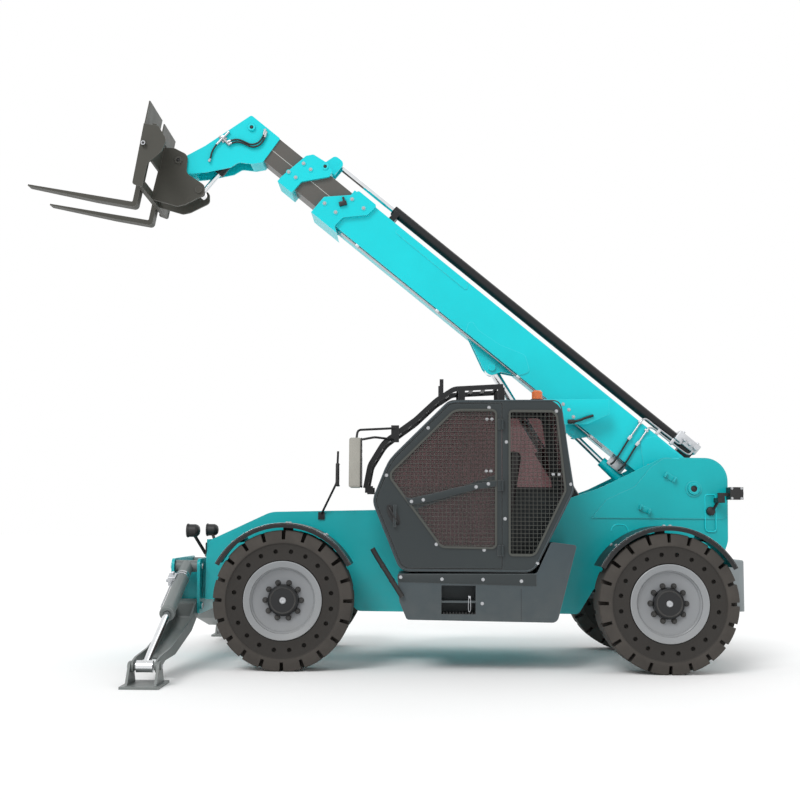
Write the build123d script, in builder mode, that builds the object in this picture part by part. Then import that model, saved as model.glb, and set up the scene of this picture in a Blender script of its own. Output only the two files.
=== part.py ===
from build123d import *
from math import atan2, cos, degrees, hypot, radians, sin
import os

# Telehandler with a three-section boom, forks, four steered wheels and two stabilizers.
# Row frame: +X to the rear, -Y to the cab's side, +Z up, ground at Z = 0, millimetres.
# Side outlines are drawn from the middle of the wheelbase, boom pieces from the boom's pivot
# and the fork carriage from its own pivot at the boom's nose.

# Driving dimensions of the whole machine
middle_x = 880.0
wheelbase = 3310.0
overall_width = 2400.0
play = 0.05
seat_gap = 0.3
pivot_side_gap = 2.0

# Wheels and axles
tyre_radius = 600.0
tyre_width = 400.0
groove_count = 20
groove_width = 38.0
groove_depth = 80.0
rim_radius = 300.0
rim_flange_radius = 337.0
rim_depth = 120.0
hub_radius = 131.0
hub_face = 178.0
hub_back = 60.0
spindle_radius = 60.0
kingpin_inset = 100.0
kingpin_radius = 25.0
knuckle_radius = 72.0
knuckle_height = 200.0
drum_radius = 190.0
drum_overlap = 20.0
axle_radius = 100.0
guard_radius = 655.0
guard_thickness = 8.0
guard_angle = 62.0
guard_inset = 20.0

# Chassis
plate_y = 450.0
plate_thickness = 20.0
axle_saddle_z = 740.0
front_plate_u = -2440.0
front_plate_top = 1105.0
tower_pin_radius = 45.0
doubler_thickness = 12.0

# Boom
boom_pivot_u = 2038.0
boom_pivot_z = 1603.0
boom_angle = 39.2
main_width = 340.0
main_top = 226.0
main_bottom = -167.0
main_rear = 210.0
main_front = 4120.0
mid_width = 292.0
mid_top = 192.0
mid_bottom = -136.0
mid_front = 4740.0
mid_rear = 760.0
inner_width = 244.0
inner_top = 160.0
inner_bottom = -104.0
inner_front = 5200.0
inner_rear = 1010.0
wall = 12.0
inner_wall = 10.0
collar_width = 416.0
mid_collar_width = 364.0
extension_t = 345.0
extension_radius = 50.0

# Lift, levelling and tilt cylinders: pins at rest
lift_pin_s = 2154.0
lift_pin_t = -255.0
lift_base_u = 1388.0
lift_base_z = 853.0
level_pin_s = 1163.0
level_pin_t = -246.0
level_base_u = 1800.0
level_base_z = 1352.0
tilt_base_s = 5456.0
tilt_base_t = 71.0
tilt_pin_u = -256.0
tilt_pin_v = -251.0

# Fork carriage
nose_s = 5788.0
nose_t = -638.0
tool_angle = 10.3
carriage_half = 618.0
fork_half_spacing = 357.0
fork_width = 120.0
fork_length = 1060.0
fork_thickness = 45.0

# Stabilizers
stab_u = -2610.0
foot_y = 2150.0
foot_pin_z = 150.0
leg_pivot_y = 420.0
leg_pivot_z = 500.0
stab_pin_y = 460.0
stab_pin_z = 860.0
ear_gap = 210.0
ear_thickness = 25.0
foot_length_x = 300.0
foot_length_y = 440.0

# Cab
cab_outer_y = -1150.0
cab_upper_inner_y = -330.0
cab_step_z = 1500.0
cab_bottom_z = 855.0
cab_wall = 55.0
door_rear_u = 229.0
door_gap = 6.0

# Engine side
pod_outer_y = 1150.0
pod_front_u = -820.0
pod_rear_u = 830.0
pod_bottom_z = 470.0
pod_split_z = 900.0
pod_top_z = 1440.0
hood_wall = 30.0

# Places that follow from them
front_axle_u = -wheelbase / 2
rear_axle_u = wheelbase / 2
tyre_mid_y = overall_width / 2 - tyre_width / 2
tyre_inner_y = overall_width / 2 - tyre_width
kingpin_y = tyre_inner_y - kingpin_inset
guard_inner_y = tyre_inner_y - guard_inset

os.makedirs("parts", exist_ok=True)


def side(y):
    """Side view plane at y, drawn from the middle of the wheelbase, facing the cab's side."""
    return Plane(origin=(middle_x, y, 0), x_dir=(1, 0, 0), z_dir=(0, -1, 0))


def at(u, y, z):
    """Row point of a place given from the middle of the wheelbase."""
    return (middle_x + u, y, z)


def side_frame(u, z, angle, y=0.0):
    """Plane in side view: x runs forward and up by angle, y runs up, z runs to the right."""
    lean = radians(angle)
    return Plane(origin=at(u, y, z), x_dir=(-cos(lean), 0, sin(lean)), z_dir=(0, 1, 0))


def boom(y=0.0):
    """Plane along the boom: x runs from its pivot to the nose, y runs up."""
    return side_frame(boom_pivot_u, boom_pivot_z, boom_angle, y)


def boom_point(s, t):
    """Side view place of a point given along and above the boom."""
    lean = radians(boom_angle)
    return (boom_pivot_u - s * cos(lean) + t * sin(lean), boom_pivot_z + s * sin(lean) + t * cos(lean))


nose_u, nose_z = boom_point(nose_s, nose_t)


def tool(y=0.0):
    """Plane of the fork carriage: x runs forward along the tines, y runs up."""
    return side_frame(nose_u, nose_z, tool_angle, y)


def tool_point(u, v):
    """Side view place of a point given on the fork carriage."""
    lean = radians(tool_angle)
    return (nose_u - u * cos(lean) + v * sin(lean), nose_z + u * sin(lean) + v * cos(lean))


def from_to(start, end):
    """Plane at the start of a cylinder in side view, with z running to its end."""
    run = (end[0] - start[0], end[1] - start[1])
    size = hypot(run[0], run[1])
    return Plane(
        origin=at(start[0], 0, start[1]), x_dir=(0, 1, 0), z_dir=(run[0] / size, 0, run[1] / size)
    )


def distance(start, end):
    """Length between two side view places."""
    return hypot(end[0] - start[0], end[1] - start[1])


low = (Align.CENTER, Align.CENTER, Align.MIN)
high = (Align.CENTER, Align.CENTER, Align.MAX)

# Wheels
wheels = (
    ("front_left", front_axle_u, -1),
    ("front_right", front_axle_u, 1),
    ("rear_left", rear_axle_u, -1),
    ("rear_right", rear_axle_u, 1),
)
for name, u, hand in wheels:
    # Wheel plane: z points away from the machine from the middle of the tread
    wheel = Plane(origin=at(u, hand * tyre_mid_y, tyre_radius), x_dir=(1, 0, 0), z_dir=(0, hand, 0))
    section = Plane(origin=wheel.origin, x_dir=(1, 0, 0), z_dir=(0, 0, 1))
    spin_axis = Axis(wheel.origin, wheel.z_dir)
    half = tyre_width / 2
    groove_middle = tyre_radius - groove_depth / 2 + 20
    with BuildPart() as tyre:
        with BuildSketch(section):
            with BuildLine():
                Polyline(
                    (rim_radius + seat_gap, -half + 17),
                    (rim_flange_radius + seat_gap, -half + 5),
                    (tyre_radius - 108, -half),
                    (tyre_radius, -half + 26),
                    (tyre_radius, half - 26),
                    (tyre_radius - 108, half),
                    (rim_flange_radius + seat_gap, half - 5),
                    (rim_radius + seat_gap, half - 17),
                    close=True,
                )
            make_face()
        revolve(axis=spin_axis)
        for face_side, start in ((1, 0.0), (-1, 180.0 / groove_count)):
            with Locations(wheel):
                with Locations((0, 0, face_side * (half - 60))):
                    with PolarLocations(groove_middle, groove_count, start_angle=start):
                        Box(groove_depth + 40, groove_width, 124, mode=Mode.SUBTRACT)
    tyre.part.label = "tyre_" + name
    export_step(tyre.part, "parts/tyre_" + name + ".step")

    with BuildPart() as rim:
        with BuildSketch(section):
            with BuildLine():
                Polyline(
                    (0, hand * hub_back),
                    (hub_radius + 40, hand * hub_back),
                    (rim_radius - 16, hand * (rim_depth - 25)),
                    (rim_radius - 16, -hand * (half - 14)),
                    (rim_flange_radius - 6, -hand * half),
                    (rim_flange_radius, -hand * (half - 4)),
                    (rim_radius, -hand * (half - 16)),
                    (rim_radius, hand * (half - 16)),
                    (rim_flange_radius, hand * (half - 4)),
                    (rim_flange_radius - 6, hand * half),
                    (rim_radius - 16, hand * (half - 16)),
                    (rim_radius - 22, hand * (rim_depth + 20)),
                    (hub_radius + 55, hand * rim_depth),
                    (hub_radius + 4, hand * (rim_depth - 8)),
                    (hub_radius, hand * (hub_face - 12)),
                    (hub_radius - 14, hand * hub_face),
                    (0, hand * hub_face),
                    close=True,
                )
            make_face()
        revolve(axis=spin_axis)
        with Locations(wheel):
            with Locations((0, 0, hub_back)):
                Cylinder(spindle_radius + play, 70, align=low, mode=Mode.SUBTRACT)
    rim.part.label = "rim_" + name
    export_step(rim.part, "parts/rim_" + name + ".step")

    # Knuckle with its kingpin bore, planetary drum, spindle and mudguard
    king = Plane(origin=at(u, hand * kingpin_y, tyre_radius), x_dir=(1, 0, 0), z_dir=(0, 0, 1))
    drum = Plane(origin=at(u, hand * kingpin_y, tyre_radius), x_dir=(1, 0, 0), z_dir=(0, hand, 0))
    drum_face = tyre_mid_y - kingpin_y + hub_back - pivot_side_gap
    with BuildPart() as knuckle:
        with Locations(king):
            Cylinder(knuckle_radius, knuckle_height)
        with Locations(drum):
            Cylinder(knuckle_radius, kingpin_inset, align=low)
            with Locations((0, 0, kingpin_inset - drum_overlap)):
                Cylinder(drum_radius, drum_face - kingpin_inset + drum_overlap, align=low)
            Cylinder(spindle_radius, drum_face + hub_back, align=low)
        # Mudguard strip with a turned-down inner edge, on a bracket beside the tyre
        with BuildSketch(side(hand * guard_inner_y)):
            with Locations((u, tyre_radius)):
                Circle(guard_radius + guard_thickness)
                Circle(guard_radius, mode=Mode.SUBTRACT)
            with BuildLine():
                reach = guard_radius * 2
                Polyline(
                    (u, tyre_radius),
                    (u - reach * sin(radians(guard_angle)), tyre_radius + reach * cos(radians(guard_angle))),
                    (u, tyre_radius + 2 * reach),
                    (u + reach * sin(radians(guard_angle)), tyre_radius + reach * cos(radians(guard_angle))),
                    close=True,
                )
            make_face(mode=Mode.INTERSECT)
        extrude(amount=-hand * (overall_width / 2 - guard_inner_y))
        with BuildSketch(side(hand * (tyre_inner_y - 10))):
            with Locations((u, tyre_radius)):
                Rectangle(90, guard_radius + guard_thickness / 2, align=(Align.CENTER, Align.MIN))
        extrude(amount=hand * 14)
        with Locations(king):
            Cylinder(kingpin_radius + play, 2 * knuckle_height, mode=Mode.SUBTRACT)
    knuckle.part.label = "knuckle_" + name
    export_step(knuckle.part, "parts/knuckle_" + name + ".step")


def face(plane, corners):
    """Flat face on a plane through corners of (x, y, radius)."""
    with BuildSketch(plane) as drawn:
        with BuildLine():
            FilletPolyline(*[(x, y) for x, y, r in corners], radius=[r for x, y, r in corners], close=True)
        make_face()
    return drawn.sketch


# Axles
arm_thickness = 30.0
arm_low = knuckle_height / 2 + pivot_side_gap
pinion_end = 175.0
differential_radius = 170.0
for name, u, inward in (("front_axle", front_axle_u, 1), ("rear_axle", rear_axle_u, -1)):
    across = Plane(origin=at(u, 0, tyre_radius), x_dir=(1, 0, 0), z_dir=(0, 1, 0))
    pinion = Plane(origin=at(u, 0, tyre_radius), x_dir=(0, 1, 0), z_dir=(inward, 0, 0))
    with BuildPart() as axle:
        with Locations(across):
            Cylinder(axle_radius, 2 * (kingpin_y - 140))
            Cylinder(differential_radius, 220)
            Cone(differential_radius, axle_radius, 180, align=low)
            Cone(axle_radius, differential_radius, 180, align=(Align.CENTER, Align.CENTER, Align.MAX))
        with Locations(pinion):
            Cylinder(80, pinion_end, align=low)
        for hand in (-1, 1):
            inner_end = Align.MAX if hand > 0 else Align.MIN
            with Locations(at(u, hand * (kingpin_y - 115), tyre_radius)):
                Box(2 * knuckle_radius, 50, 2 * (arm_low + arm_thickness))
            with Locations(at(u, hand * (plate_y - plate_thickness / 2), tyre_radius)):
                Box(160, 60, axle_saddle_z - tyre_radius, align=low)
            toward_middle = (Align.CENTER, inner_end, Align.CENTER)
            for up in (-1, 1):
                with Locations(at(u, hand * kingpin_y, tyre_radius + up * (arm_low + arm_thickness / 2))):
                    Cylinder(knuckle_radius, arm_thickness)
                    Box(2 * knuckle_radius, 140, arm_thickness, align=toward_middle)
            with Locations(at(u, hand * kingpin_y, tyre_radius)):
                Cylinder(kingpin_radius, 2 * arm_low)
    axle.part.label = name
    export_step(axle.part, "parts/" + name + ".step")

# Transfer gearbox with a drive shaft to each axle
gearbox_half = 190.0
shaft_radius = 30.0
shaft_reach = wheelbase / 2 - pinion_end - seat_gap
with BuildPart() as drive_line:
    with Locations(at(0, 0, tyre_radius)):
        Box(2 * gearbox_half, 300, 190)
        Cylinder(shaft_radius, 2 * shaft_reach, rotation=(0, 90, 0))
    with Locations(at(shaft_reach - 20, 0, tyre_radius), at(20 - shaft_reach, 0, tyre_radius)):
        Cylinder(60, 40, rotation=(0, 90, 0))
drive_line.part.label = "drive_line"
export_step(drive_line.part, "parts/drive_line.step")

# Chassis frame: two long plates, the boom tower and what joins them
inner_y = plate_y - plate_thickness
doubler_y = plate_y + doubler_thickness
belly_z = 470.0
plate_outline = (
    (front_plate_u, 560, 0),
    (front_plate_u, 960, 0),
    (-2405, 1100, 20),
    (-1850, 1362, 250),
    (-920, 1386, 300),
    (700, 1440, 300),
    (1190, 1610, 500),
    (1760, 1890, 90),
    (2357, 1890, 210),
    (2350, 1120, 200),
    (2290, 960, 30),
    (2290, 560, 40),
    (2060, 560, 60),
    (1930, axle_saddle_z, 60),
    (1380, axle_saddle_z, 60),
    (1120, 690, 60),
    (975, 455, 50),
    (-1040, 465, 60),
    (-1300, axle_saddle_z, 60),
    (-1990, axle_saddle_z, 60),
    (-2200, 560, 60),
)
doubler_outline = (
    (1240, 1500, 40),
    (1500, 1620, 120),
    (1650, 1800, 60),
    (1765, 1880, 20),
    (2345, 1880, 200),
    (2338, 1330, 60),
    (1100, 1330, 0),
)
with BuildPart() as chassis_frame:
    for hand in (-1, 1):
        extrude(face(side(hand * plate_y), plate_outline), amount=hand * plate_thickness)
        extrude(face(side(hand * plate_y), doubler_outline), amount=-hand * doubler_thickness)
        with Locations(at(boom_pivot_u, hand * doubler_y, boom_pivot_z)):
            Cylinder(1.6 * tower_pin_radius, 2 * doubler_thickness, rotation=(90, 0, 0))
        # Brackets that carry the base pins of the lift and levelling cylinders
        for pin_u, pin_z, gap, radius in (
            (lift_base_u, lift_base_z, 95.0, 35.0),
            (level_base_u, level_base_z, 60.0, 22.0),
        ):
            middle = hand * (gap + inner_y) / 2
            with Locations(at(pin_u, middle, pin_z)):
                Cylinder(radius, inner_y - gap + 2, rotation=(90, 0, 0))
            with Locations(at(pin_u, hand * (gap + 10), pin_z)):
                Cylinder(2 * radius, 20, rotation=(90, 0, 0))
            with Locations(at(pin_u, middle + hand * 10, pin_z - radius)):
                Box(2.6 * radius, inner_y - gap - 20, 24)
    with Locations(at(boom_pivot_u, 0, boom_pivot_z)):
        Cylinder(tower_pin_radius, 2 * plate_y, rotation=(90, 0, 0))
    with Locations(at(-40, 0, belly_z + 8)):
        Box(1900, 2 * inner_y, 16)
    with Locations(at(front_plate_u, 0, 560)):
        Box(24, 2 * inner_y, front_plate_top - 560, align=(Align.MIN, Align.CENTER, Align.MIN))
    with Locations(at(2330, 0, 1120)):
        Box(20, 2 * inner_y, 380, align=low)
    with Locations(at(2280, 0, 560)):
        Box(20, 2 * inner_y, 400, align=low)
    with Locations(at(-1000, 0, tyre_radius + 140)):
        Box(20, 2 * inner_y, 180, align=low)
    with Locations(at(front_axle_u, 0, axle_saddle_z + 60)):
        Box(240, 2 * inner_y, 20)
    with Locations(at(rear_axle_u + 150, 0, axle_saddle_z + 80)):
        Box(200, 2 * inner_y, 20)
chassis_frame.part.label = "chassis_frame"
export_step(chassis_frame.part, "parts/chassis_frame.step")

# Rear counterweight
with BuildPart() as counterweight:
    with Locations(at(2290 + seat_gap, 0, 500)):
        Box(170, 1200, 460, align=(Align.MIN, Align.CENTER, Align.MIN))
    fillet(counterweight.edges().filter_by(Axis.Z).sort_by(Axis.X)[-2:], 60)
    fillet(counterweight.faces().sort_by(Axis.Z)[-1].edges(), 20)
counterweight.part.label = "counterweight"
export_step(counterweight.part, "parts/counterweight.step")

# Stabilizer frame: two ear plates across the machine with the legs between them
ear_outline = (
    (-555, 930, 60),
    (555, 930, 60),
    (530, 700, 40),
    (500, 430, 60),
    (-500, 430, 60),
    (-530, 700, 40),
)
ear_offset = ear_gap / 2
with BuildPart() as stabilizer_frame:
    for lengthwise in (-1, 1):
        start = Plane(
            origin=at(stab_u + lengthwise * ear_offset, 0, 0), x_dir=(0, 1, 0), z_dir=(1, 0, 0)
        )
        extrude(face(start, ear_outline), amount=lengthwise * ear_thickness)
    with Locations(at(stab_u, 0, 680)):
        Box(ear_gap, 620, 420)
    with Locations(at(stab_u + ear_offset + ear_thickness, 0, 560)):
        Box(
            front_plate_u - stab_u - ear_offset - ear_thickness - seat_gap,
            700,
            340,
            align=(Align.MIN, Align.CENTER, Align.MIN),
        )
    for hand in (-1, 1):
        with Locations(at(stab_u, hand * stab_pin_y, stab_pin_z)):
            Cylinder(30, ear_gap + 2 * ear_thickness + 20, rotation=(0, 90, 0))
        with Locations(at(stab_u, hand * leg_pivot_y, leg_pivot_z)):
            Cylinder(35, ear_gap + 2 * ear_thickness + 20, rotation=(0, 90, 0))
stabilizer_frame.part.label = "stabilizer_frame"
export_step(stabilizer_frame.part, "parts/stabilizer_frame.step")

# Stabilizers
leg_run = hypot(foot_y - leg_pivot_y, leg_pivot_z - foot_pin_z)
leg_drop = atan2(leg_pivot_z - foot_pin_z, foot_y - leg_pivot_y)
stab_run = hypot(foot_y - stab_pin_y, stab_pin_z - foot_pin_z)
stab_drop = atan2(stab_pin_z - foot_pin_z, foot_y - stab_pin_y)
stab_barrel_length = 950.0
leg_half = ear_gap / 2 - 5
leg_wall = 15.0
leg_fork = 340.0
leg_outline = (
    (-70, 60, 60),
    (-70, -70, 60),
    (320, -140, 200),
    (1080, -120, 250),
    (leg_run - 290, -44, 150),
    (leg_run + 50, -44, 40),
    (leg_run + 50, 50, 45),
    (leg_run - 90, 50, 60),
    (1250, -10, 200),
    (420, -30, 200),
    (70, 60, 60),
)
leg_channel = (
    (110, 200, 0),
    (110, -80, 20),
    (330, -124, 190),
    (1080, -104, 240),
    (leg_run - 290, -28, 150),
    (leg_run - 75, -28, 0),
    (leg_run - 75, 200, 0),
)
for name, hand in (("left", -1), ("right", 1)):
    leg_plane = Plane(
        origin=at(stab_u, hand * leg_pivot_y, leg_pivot_z),
        x_dir=(0, hand * cos(leg_drop), -sin(leg_drop)),
        z_dir=(hand, 0, 0),
    )
    ram = Plane(
        origin=at(stab_u, hand * stab_pin_y, stab_pin_z),
        x_dir=(1, 0, 0),
        z_dir=(0, hand * cos(stab_drop), -sin(stab_drop)),
    )
    foot_pin = at(stab_u, hand * foot_y, foot_pin_z)
    with BuildPart() as leg:
        extrude(face(leg_plane, leg_outline), amount=leg_half, both=True)
        extrude(face(leg_plane, leg_channel), amount=leg_half - leg_wall, both=True, mode=Mode.SUBTRACT)
        with Locations(leg_plane):
            Cylinder(35 + play, 3 * leg_half, mode=Mode.SUBTRACT)
        with Locations(leg_plane):
            with Locations((leg_run, 0, 0)):
                Cylinder(30 + play, 3 * leg_half, mode=Mode.SUBTRACT)
                Box(2 * leg_fork, 200, 2 * (leg_half - leg_wall), mode=Mode.SUBTRACT)
    leg.part.label = "stabilizer_leg_" + name
    export_step(leg.part, "parts/stabilizer_leg_" + name + ".step")

    with BuildPart() as barrel:
        with Locations(ram):
            Cylinder(60, stab_barrel_length, align=low)
            Cylinder(55, ear_gap - 10, rotation=(0, 90, 0))
            Cylinder(30 + play, ear_gap, rotation=(0, 90, 0), mode=Mode.SUBTRACT)
            with Locations((0, 0, 80)):
                Cylinder(45, stab_barrel_length, align=low, mode=Mode.SUBTRACT)
            with Locations((0, 0, stab_barrel_length - 40)):
                Cylinder(50, 40, align=low)
                Cylinder(30 + play, 60, align=low, mode=Mode.SUBTRACT)
    barrel.part.label = "stabilizer_barrel_" + name
    export_step(barrel.part, "parts/stabilizer_barrel_" + name + ".step")

    with BuildPart() as rod:
        with Locations(ram):
            with Locations((0, 0, stab_run)):
                Cylinder(30, stab_run - 560, align=high)
                Cylinder(46, 130, rotation=(0, 90, 0))
    rod.part.label = "stabilizer_rod_" + name
    export_step(rod.part, "parts/stabilizer_rod_" + name + ".step")

    foot_outline = (
        (-150, 18, 0),
        (150, 18, 0),
        (48, foot_pin_z + 40, 40),
        (-48, foot_pin_z + 40, 40),
    )
    with BuildPart() as foot:
        with Locations(at(stab_u, hand * foot_y, 0)):
            Box(foot_length_x, foot_length_y, 20, align=low)
        for lengthwise in (-1, 1):
            start = Plane(
                origin=at(stab_u + lengthwise * (leg_half + 3), hand * foot_y, 0),
                x_dir=(0, 1, 0),
                z_dir=(1, 0, 0),
            )
            extrude(face(start, foot_outline), amount=lengthwise * 18)
            with Locations(Plane(origin=foot_pin, x_dir=(0, 1, 0), z_dir=(lengthwise, 0, 0))):
                with Locations((0, 0, 72)):
                    Cylinder(30, leg_half - 40, align=low)
    foot.part.label = "stabilizer_foot_" + name
    export_step(foot.part, "parts/stabilizer_foot_" + name + ".step")


def boom_box(first, last, top, bottom, width, mode=Mode.ADD):
    """Rectangular length of boom between two places along it."""
    with Locations(((first + last) / 2, (top + bottom) / 2, 0)):
        Box(last - first, top - bottom, width, mode=mode)


# Main boom section with its pivot tube, front collar and cylinder lugs
slide_gap = 0.5
main_collar = (
    (4450, -215, 0),
    (4450, -20, 20),
    (4250, 170, 20),
    (4232, 240, 25),
    (4000, 240, 20),
    (4012, 110, 40),
    (4180, -60, 30),
    (4188, -175, 20),
    (4125, -215, 0),
)
lift_lug = (
    (lift_pin_s + 410, main_bottom + 20, 0),
    (lift_pin_s + 60, lift_pin_t - 62, 62),
    (lift_pin_s - 40, lift_pin_t - 75, 62),
    (lift_pin_s - 95, lift_pin_t + 20, 40),
    (lift_pin_s - 260, main_bottom + 20, 0),
)
level_lug = (
    (level_pin_s + 170, main_bottom + 20, 0),
    (level_pin_s + 50, level_pin_t - 42, 44),
    (level_pin_s - 50, level_pin_t - 42, 44),
    (level_pin_s - 170, main_bottom + 20, 0),
)
pin_reach = 2 * inner_y - 4
top_doubler = (
    (3754, 155, 20),
    (3656, 215, 20),
    (2864, 222, 20),
    (2786, 150, 20),
)
lug_doubler = (
    (2614, -32, 30),
    (2481, -73, 80),
    (2227, -51, 120),
    (1982, 26, 60),
    (1842, -71, 40),
    (1900, -163, 0),
    (2560, -163, 30),
)
rear_doubler = (
    (630, 89, 30),
    (544, 210, 30),
    (-60, 210, 60),
    (-60, -150, 60),
    (380, -150, 60),
)
relief = 8.0
main_bosses = ((4404, -66), (4265, -66), (4225, 134), (4082, 136))
mid_bosses = ((4821, 111), (4879, -46), (4730, 109), (4791, -44))
boss_radius = 24.0
boss_height = 12.0
with BuildPart(boom()) as boom_main:
    boom_box(-90, main_front + 150, main_top, main_bottom, main_width)
    for outline in (top_doubler, lug_doubler, rear_doubler):
        extrude(face(boom(), outline), amount=main_width / 2 + relief, both=True)
    for hand in (-1, 1):
        with Locations(*[(s, t, hand * collar_width / 2) for s, t in main_bosses]):
            Cylinder(boss_radius, boss_height)
    extrude(face(boom(), main_collar), amount=collar_width / 2, both=True)
    Cylinder(105, pin_reach)
    for y in (-66, 66):
        extrude(face(boom(y), lift_lug), amount=10, both=True)
    for y in (-56, 56):
        extrude(face(boom(y), level_lug), amount=8, both=True)
    boom_box(
        main_rear,
        main_front,
        main_top - wall,
        main_bottom + wall,
        main_width - 2 * wall,
        Mode.SUBTRACT,
    )
    boom_box(
        main_front - 1,
        main_front + 400,
        mid_top + slide_gap,
        mid_bottom - slide_gap,
        mid_width + 2 * slide_gap,
        Mode.SUBTRACT,
    )
    Cylinder(tower_pin_radius + play, pin_reach, mode=Mode.SUBTRACT)
    with Locations((lift_pin_s, lift_pin_t, 0)):
        Cylinder(35, 190)
    with Locations((level_pin_s, level_pin_t, 0)):
        Cylinder(25, 150)
boom_main.part.label = "boom_main"
export_step(boom_main.part, "parts/boom_main.step")

# Extension cylinder along the top of the boom
rod_eye_s = 4600.0
with BuildPart(boom()) as extension_barrel:
    with Locations(Plane(origin=(180, extension_t, 0), z_dir=(1, 0, 0))):
        Cylinder(extension_radius, 3700, align=low)
    boom_box(150, 290, extension_t + 58, main_top + seat_gap, 140)
    boom_box(3800, 3860, extension_t, main_top + seat_gap, 110)
    with Locations(Plane(origin=(300, extension_t, 0), z_dir=(1, 0, 0))):
        Cylinder(40, 3560, align=low, mode=Mode.SUBTRACT)
    with Locations(Plane(origin=(3700, extension_t, 0), z_dir=(1, 0, 0))):
        Cylinder(28 + play, 400, align=low, mode=Mode.SUBTRACT)
extension_barrel.part.label = "extension_barrel"
export_step(extension_barrel.part, "parts/extension_barrel.step")

mid_collar = (
    (4905, -184, 0),
    (4905, -130, 20),
    (4853, 185, 30),
    (4807, 242, 30),
    (4650, 262, 40),
    (4560, 235, 30),
    (4545, 170, 20),
    (4722, -40, 30),
    (4725, -184, 0),
)
rod_lug = (
    (4700, 250, 0),
    (4660, extension_t + 45, 45),
    (4540, extension_t + 45, 45),
    (4540, 230, 0),
)
with BuildPart(boom()) as boom_mid:
    boom_box(mid_rear, mid_front, mid_top, mid_bottom, mid_width)
    for hand in (-1, 1):
        with Locations(*[(s, t, hand * mid_collar_width / 2) for s, t in mid_bosses]):
            Cylinder(boss_radius, boss_height)
    extrude(face(boom(), mid_collar), amount=mid_collar_width / 2, both=True)
    for y in (-62, 62):
        extrude(face(boom(y), rod_lug), amount=12, both=True)
    boom_box(mid_rear - 1, mid_front, mid_top - wall, mid_bottom + wall, mid_width - 2 * wall, Mode.SUBTRACT)
    boom_box(
        mid_front - 1,
        mid_front + 300,
        inner_top + slide_gap,
        inner_bottom - slide_gap,
        inner_width + 2 * slide_gap,
        Mode.SUBTRACT,
    )
    with Locations((rod_eye_s, extension_t, 0)):
        Cylinder(25, 150)
boom_mid.part.label = "boom_mid"
export_step(boom_mid.part, "parts/boom_mid.step")

with BuildPart(boom()) as extension_rod:
    with Locations(Plane(origin=(850, extension_t, 0), z_dir=(1, 0, 0))):
        Cylinder(28, rod_eye_s - 850, align=low)
        Cylinder(39.95, 60, align=low)
    with Locations((rod_eye_s, extension_t, 0)):
        Cylinder(44, 96)
        Cylinder(25 + play, 100, mode=Mode.SUBTRACT)
extension_rod.part.label = "extension_rod"
export_step(extension_rod.part, "parts/extension_rod.step")

# Inner boom section with the gooseneck head
head_width = 276.0
nose_boss = 64.0
tool_pin_radius = 38.0
tilt_base_radius = 25.0
head_outline = (
    (5172, 165, 10),
    (5541, 165, 25),
    (5614, -90, 150),
    (5690, -357, 150),
    (nose_s - 20, nose_t + 84, 40),
    (nose_s + 66, nose_t + 10, 60),
    (nose_s - 40, nose_t - 72, 60),
    (5649, -693, 40),
    (5514, -555, 100),
    (5361, -365, 60),
    (5330, -274, 60),
    (5214, -199, 40),
    (5150, -125, 10),
)
head_hollow = (
    (5260, 146, 0),
    (5526, 146, 20),
    (5596, -94, 150),
    (5668, -350, 100),
    (5690, -470, 0),
    (5500, -760, 0),
    (5180, -400, 0),
    (5260, -120, 30),
)
with BuildPart(boom()) as boom_inner:
    boom_box(inner_rear, inner_front, inner_top, inner_bottom, inner_width)
    boom_box(
        inner_rear - 1,
        inner_front,
        inner_top - inner_wall,
        inner_bottom + inner_wall,
        inner_width - 2 * inner_wall,
        Mode.SUBTRACT,
    )
    extrude(face(boom(), head_outline), amount=head_width / 2, both=True)
    extrude(face(boom(), head_hollow), amount=head_width / 2 - 20, both=True, mode=Mode.SUBTRACT)
    with Locations((nose_s, nose_t, 0)):
        Cylinder(nose_boss, head_width)
        Cylinder(tool_pin_radius + play, head_width + 20, mode=Mode.SUBTRACT)
    with Locations((tilt_base_s, tilt_base_t, 0)):
        Cylinder(tilt_base_radius, head_width + 24)
boom_inner.part.label = "boom_inner"
export_step(boom_inner.part, "parts/boom_inner.step")


def rod_and_barrel(start, end, rod_radius, rod_length, barrel_radius, barrel_length, pin_radius, widths):
    """Solids of a cylinder whose rod's eye is at start and whose barrel's eye is at end."""
    line = from_to(start, end)
    reach = distance(start, end)
    rod_eye, barrel_eye = widths
    with BuildPart(line) as rod:
        Cylinder(rod_radius, rod_length, align=low)
        Cylinder(2 * pin_radius, rod_eye, rotation=(0, 90, 0))
        Cylinder(pin_radius + play, rod_eye + 10, rotation=(0, 90, 0), mode=Mode.SUBTRACT)
    with BuildPart(line) as barrel:
        with Locations((0, 0, reach)):
            Cylinder(barrel_radius, barrel_length, align=high)
            Cylinder(barrel_radius, barrel_eye, rotation=(0, 90, 0))
        with Locations((0, 0, reach - barrel_radius - 10)):
            Cylinder(barrel_radius - 12, barrel_length - barrel_radius - 50, align=high, mode=Mode.SUBTRACT)
            Cylinder(rod_radius + play, barrel_length, align=high, mode=Mode.SUBTRACT)
    return rod.part, barrel.part


# Lift cylinder
lift_pin = boom_point(lift_pin_s, lift_pin_t)
lift_rod, lift_barrel = rod_and_barrel(
    lift_pin, (lift_base_u, lift_base_z), 45, 1430, 80, 1330, 35, (108, 180)
)
lift_rod.label = "lift_rod"
export_step(lift_rod, "parts/lift_rod.step")
lift_barrel.label = "lift_barrel"
export_step(lift_barrel, "parts/lift_barrel.step")

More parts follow.
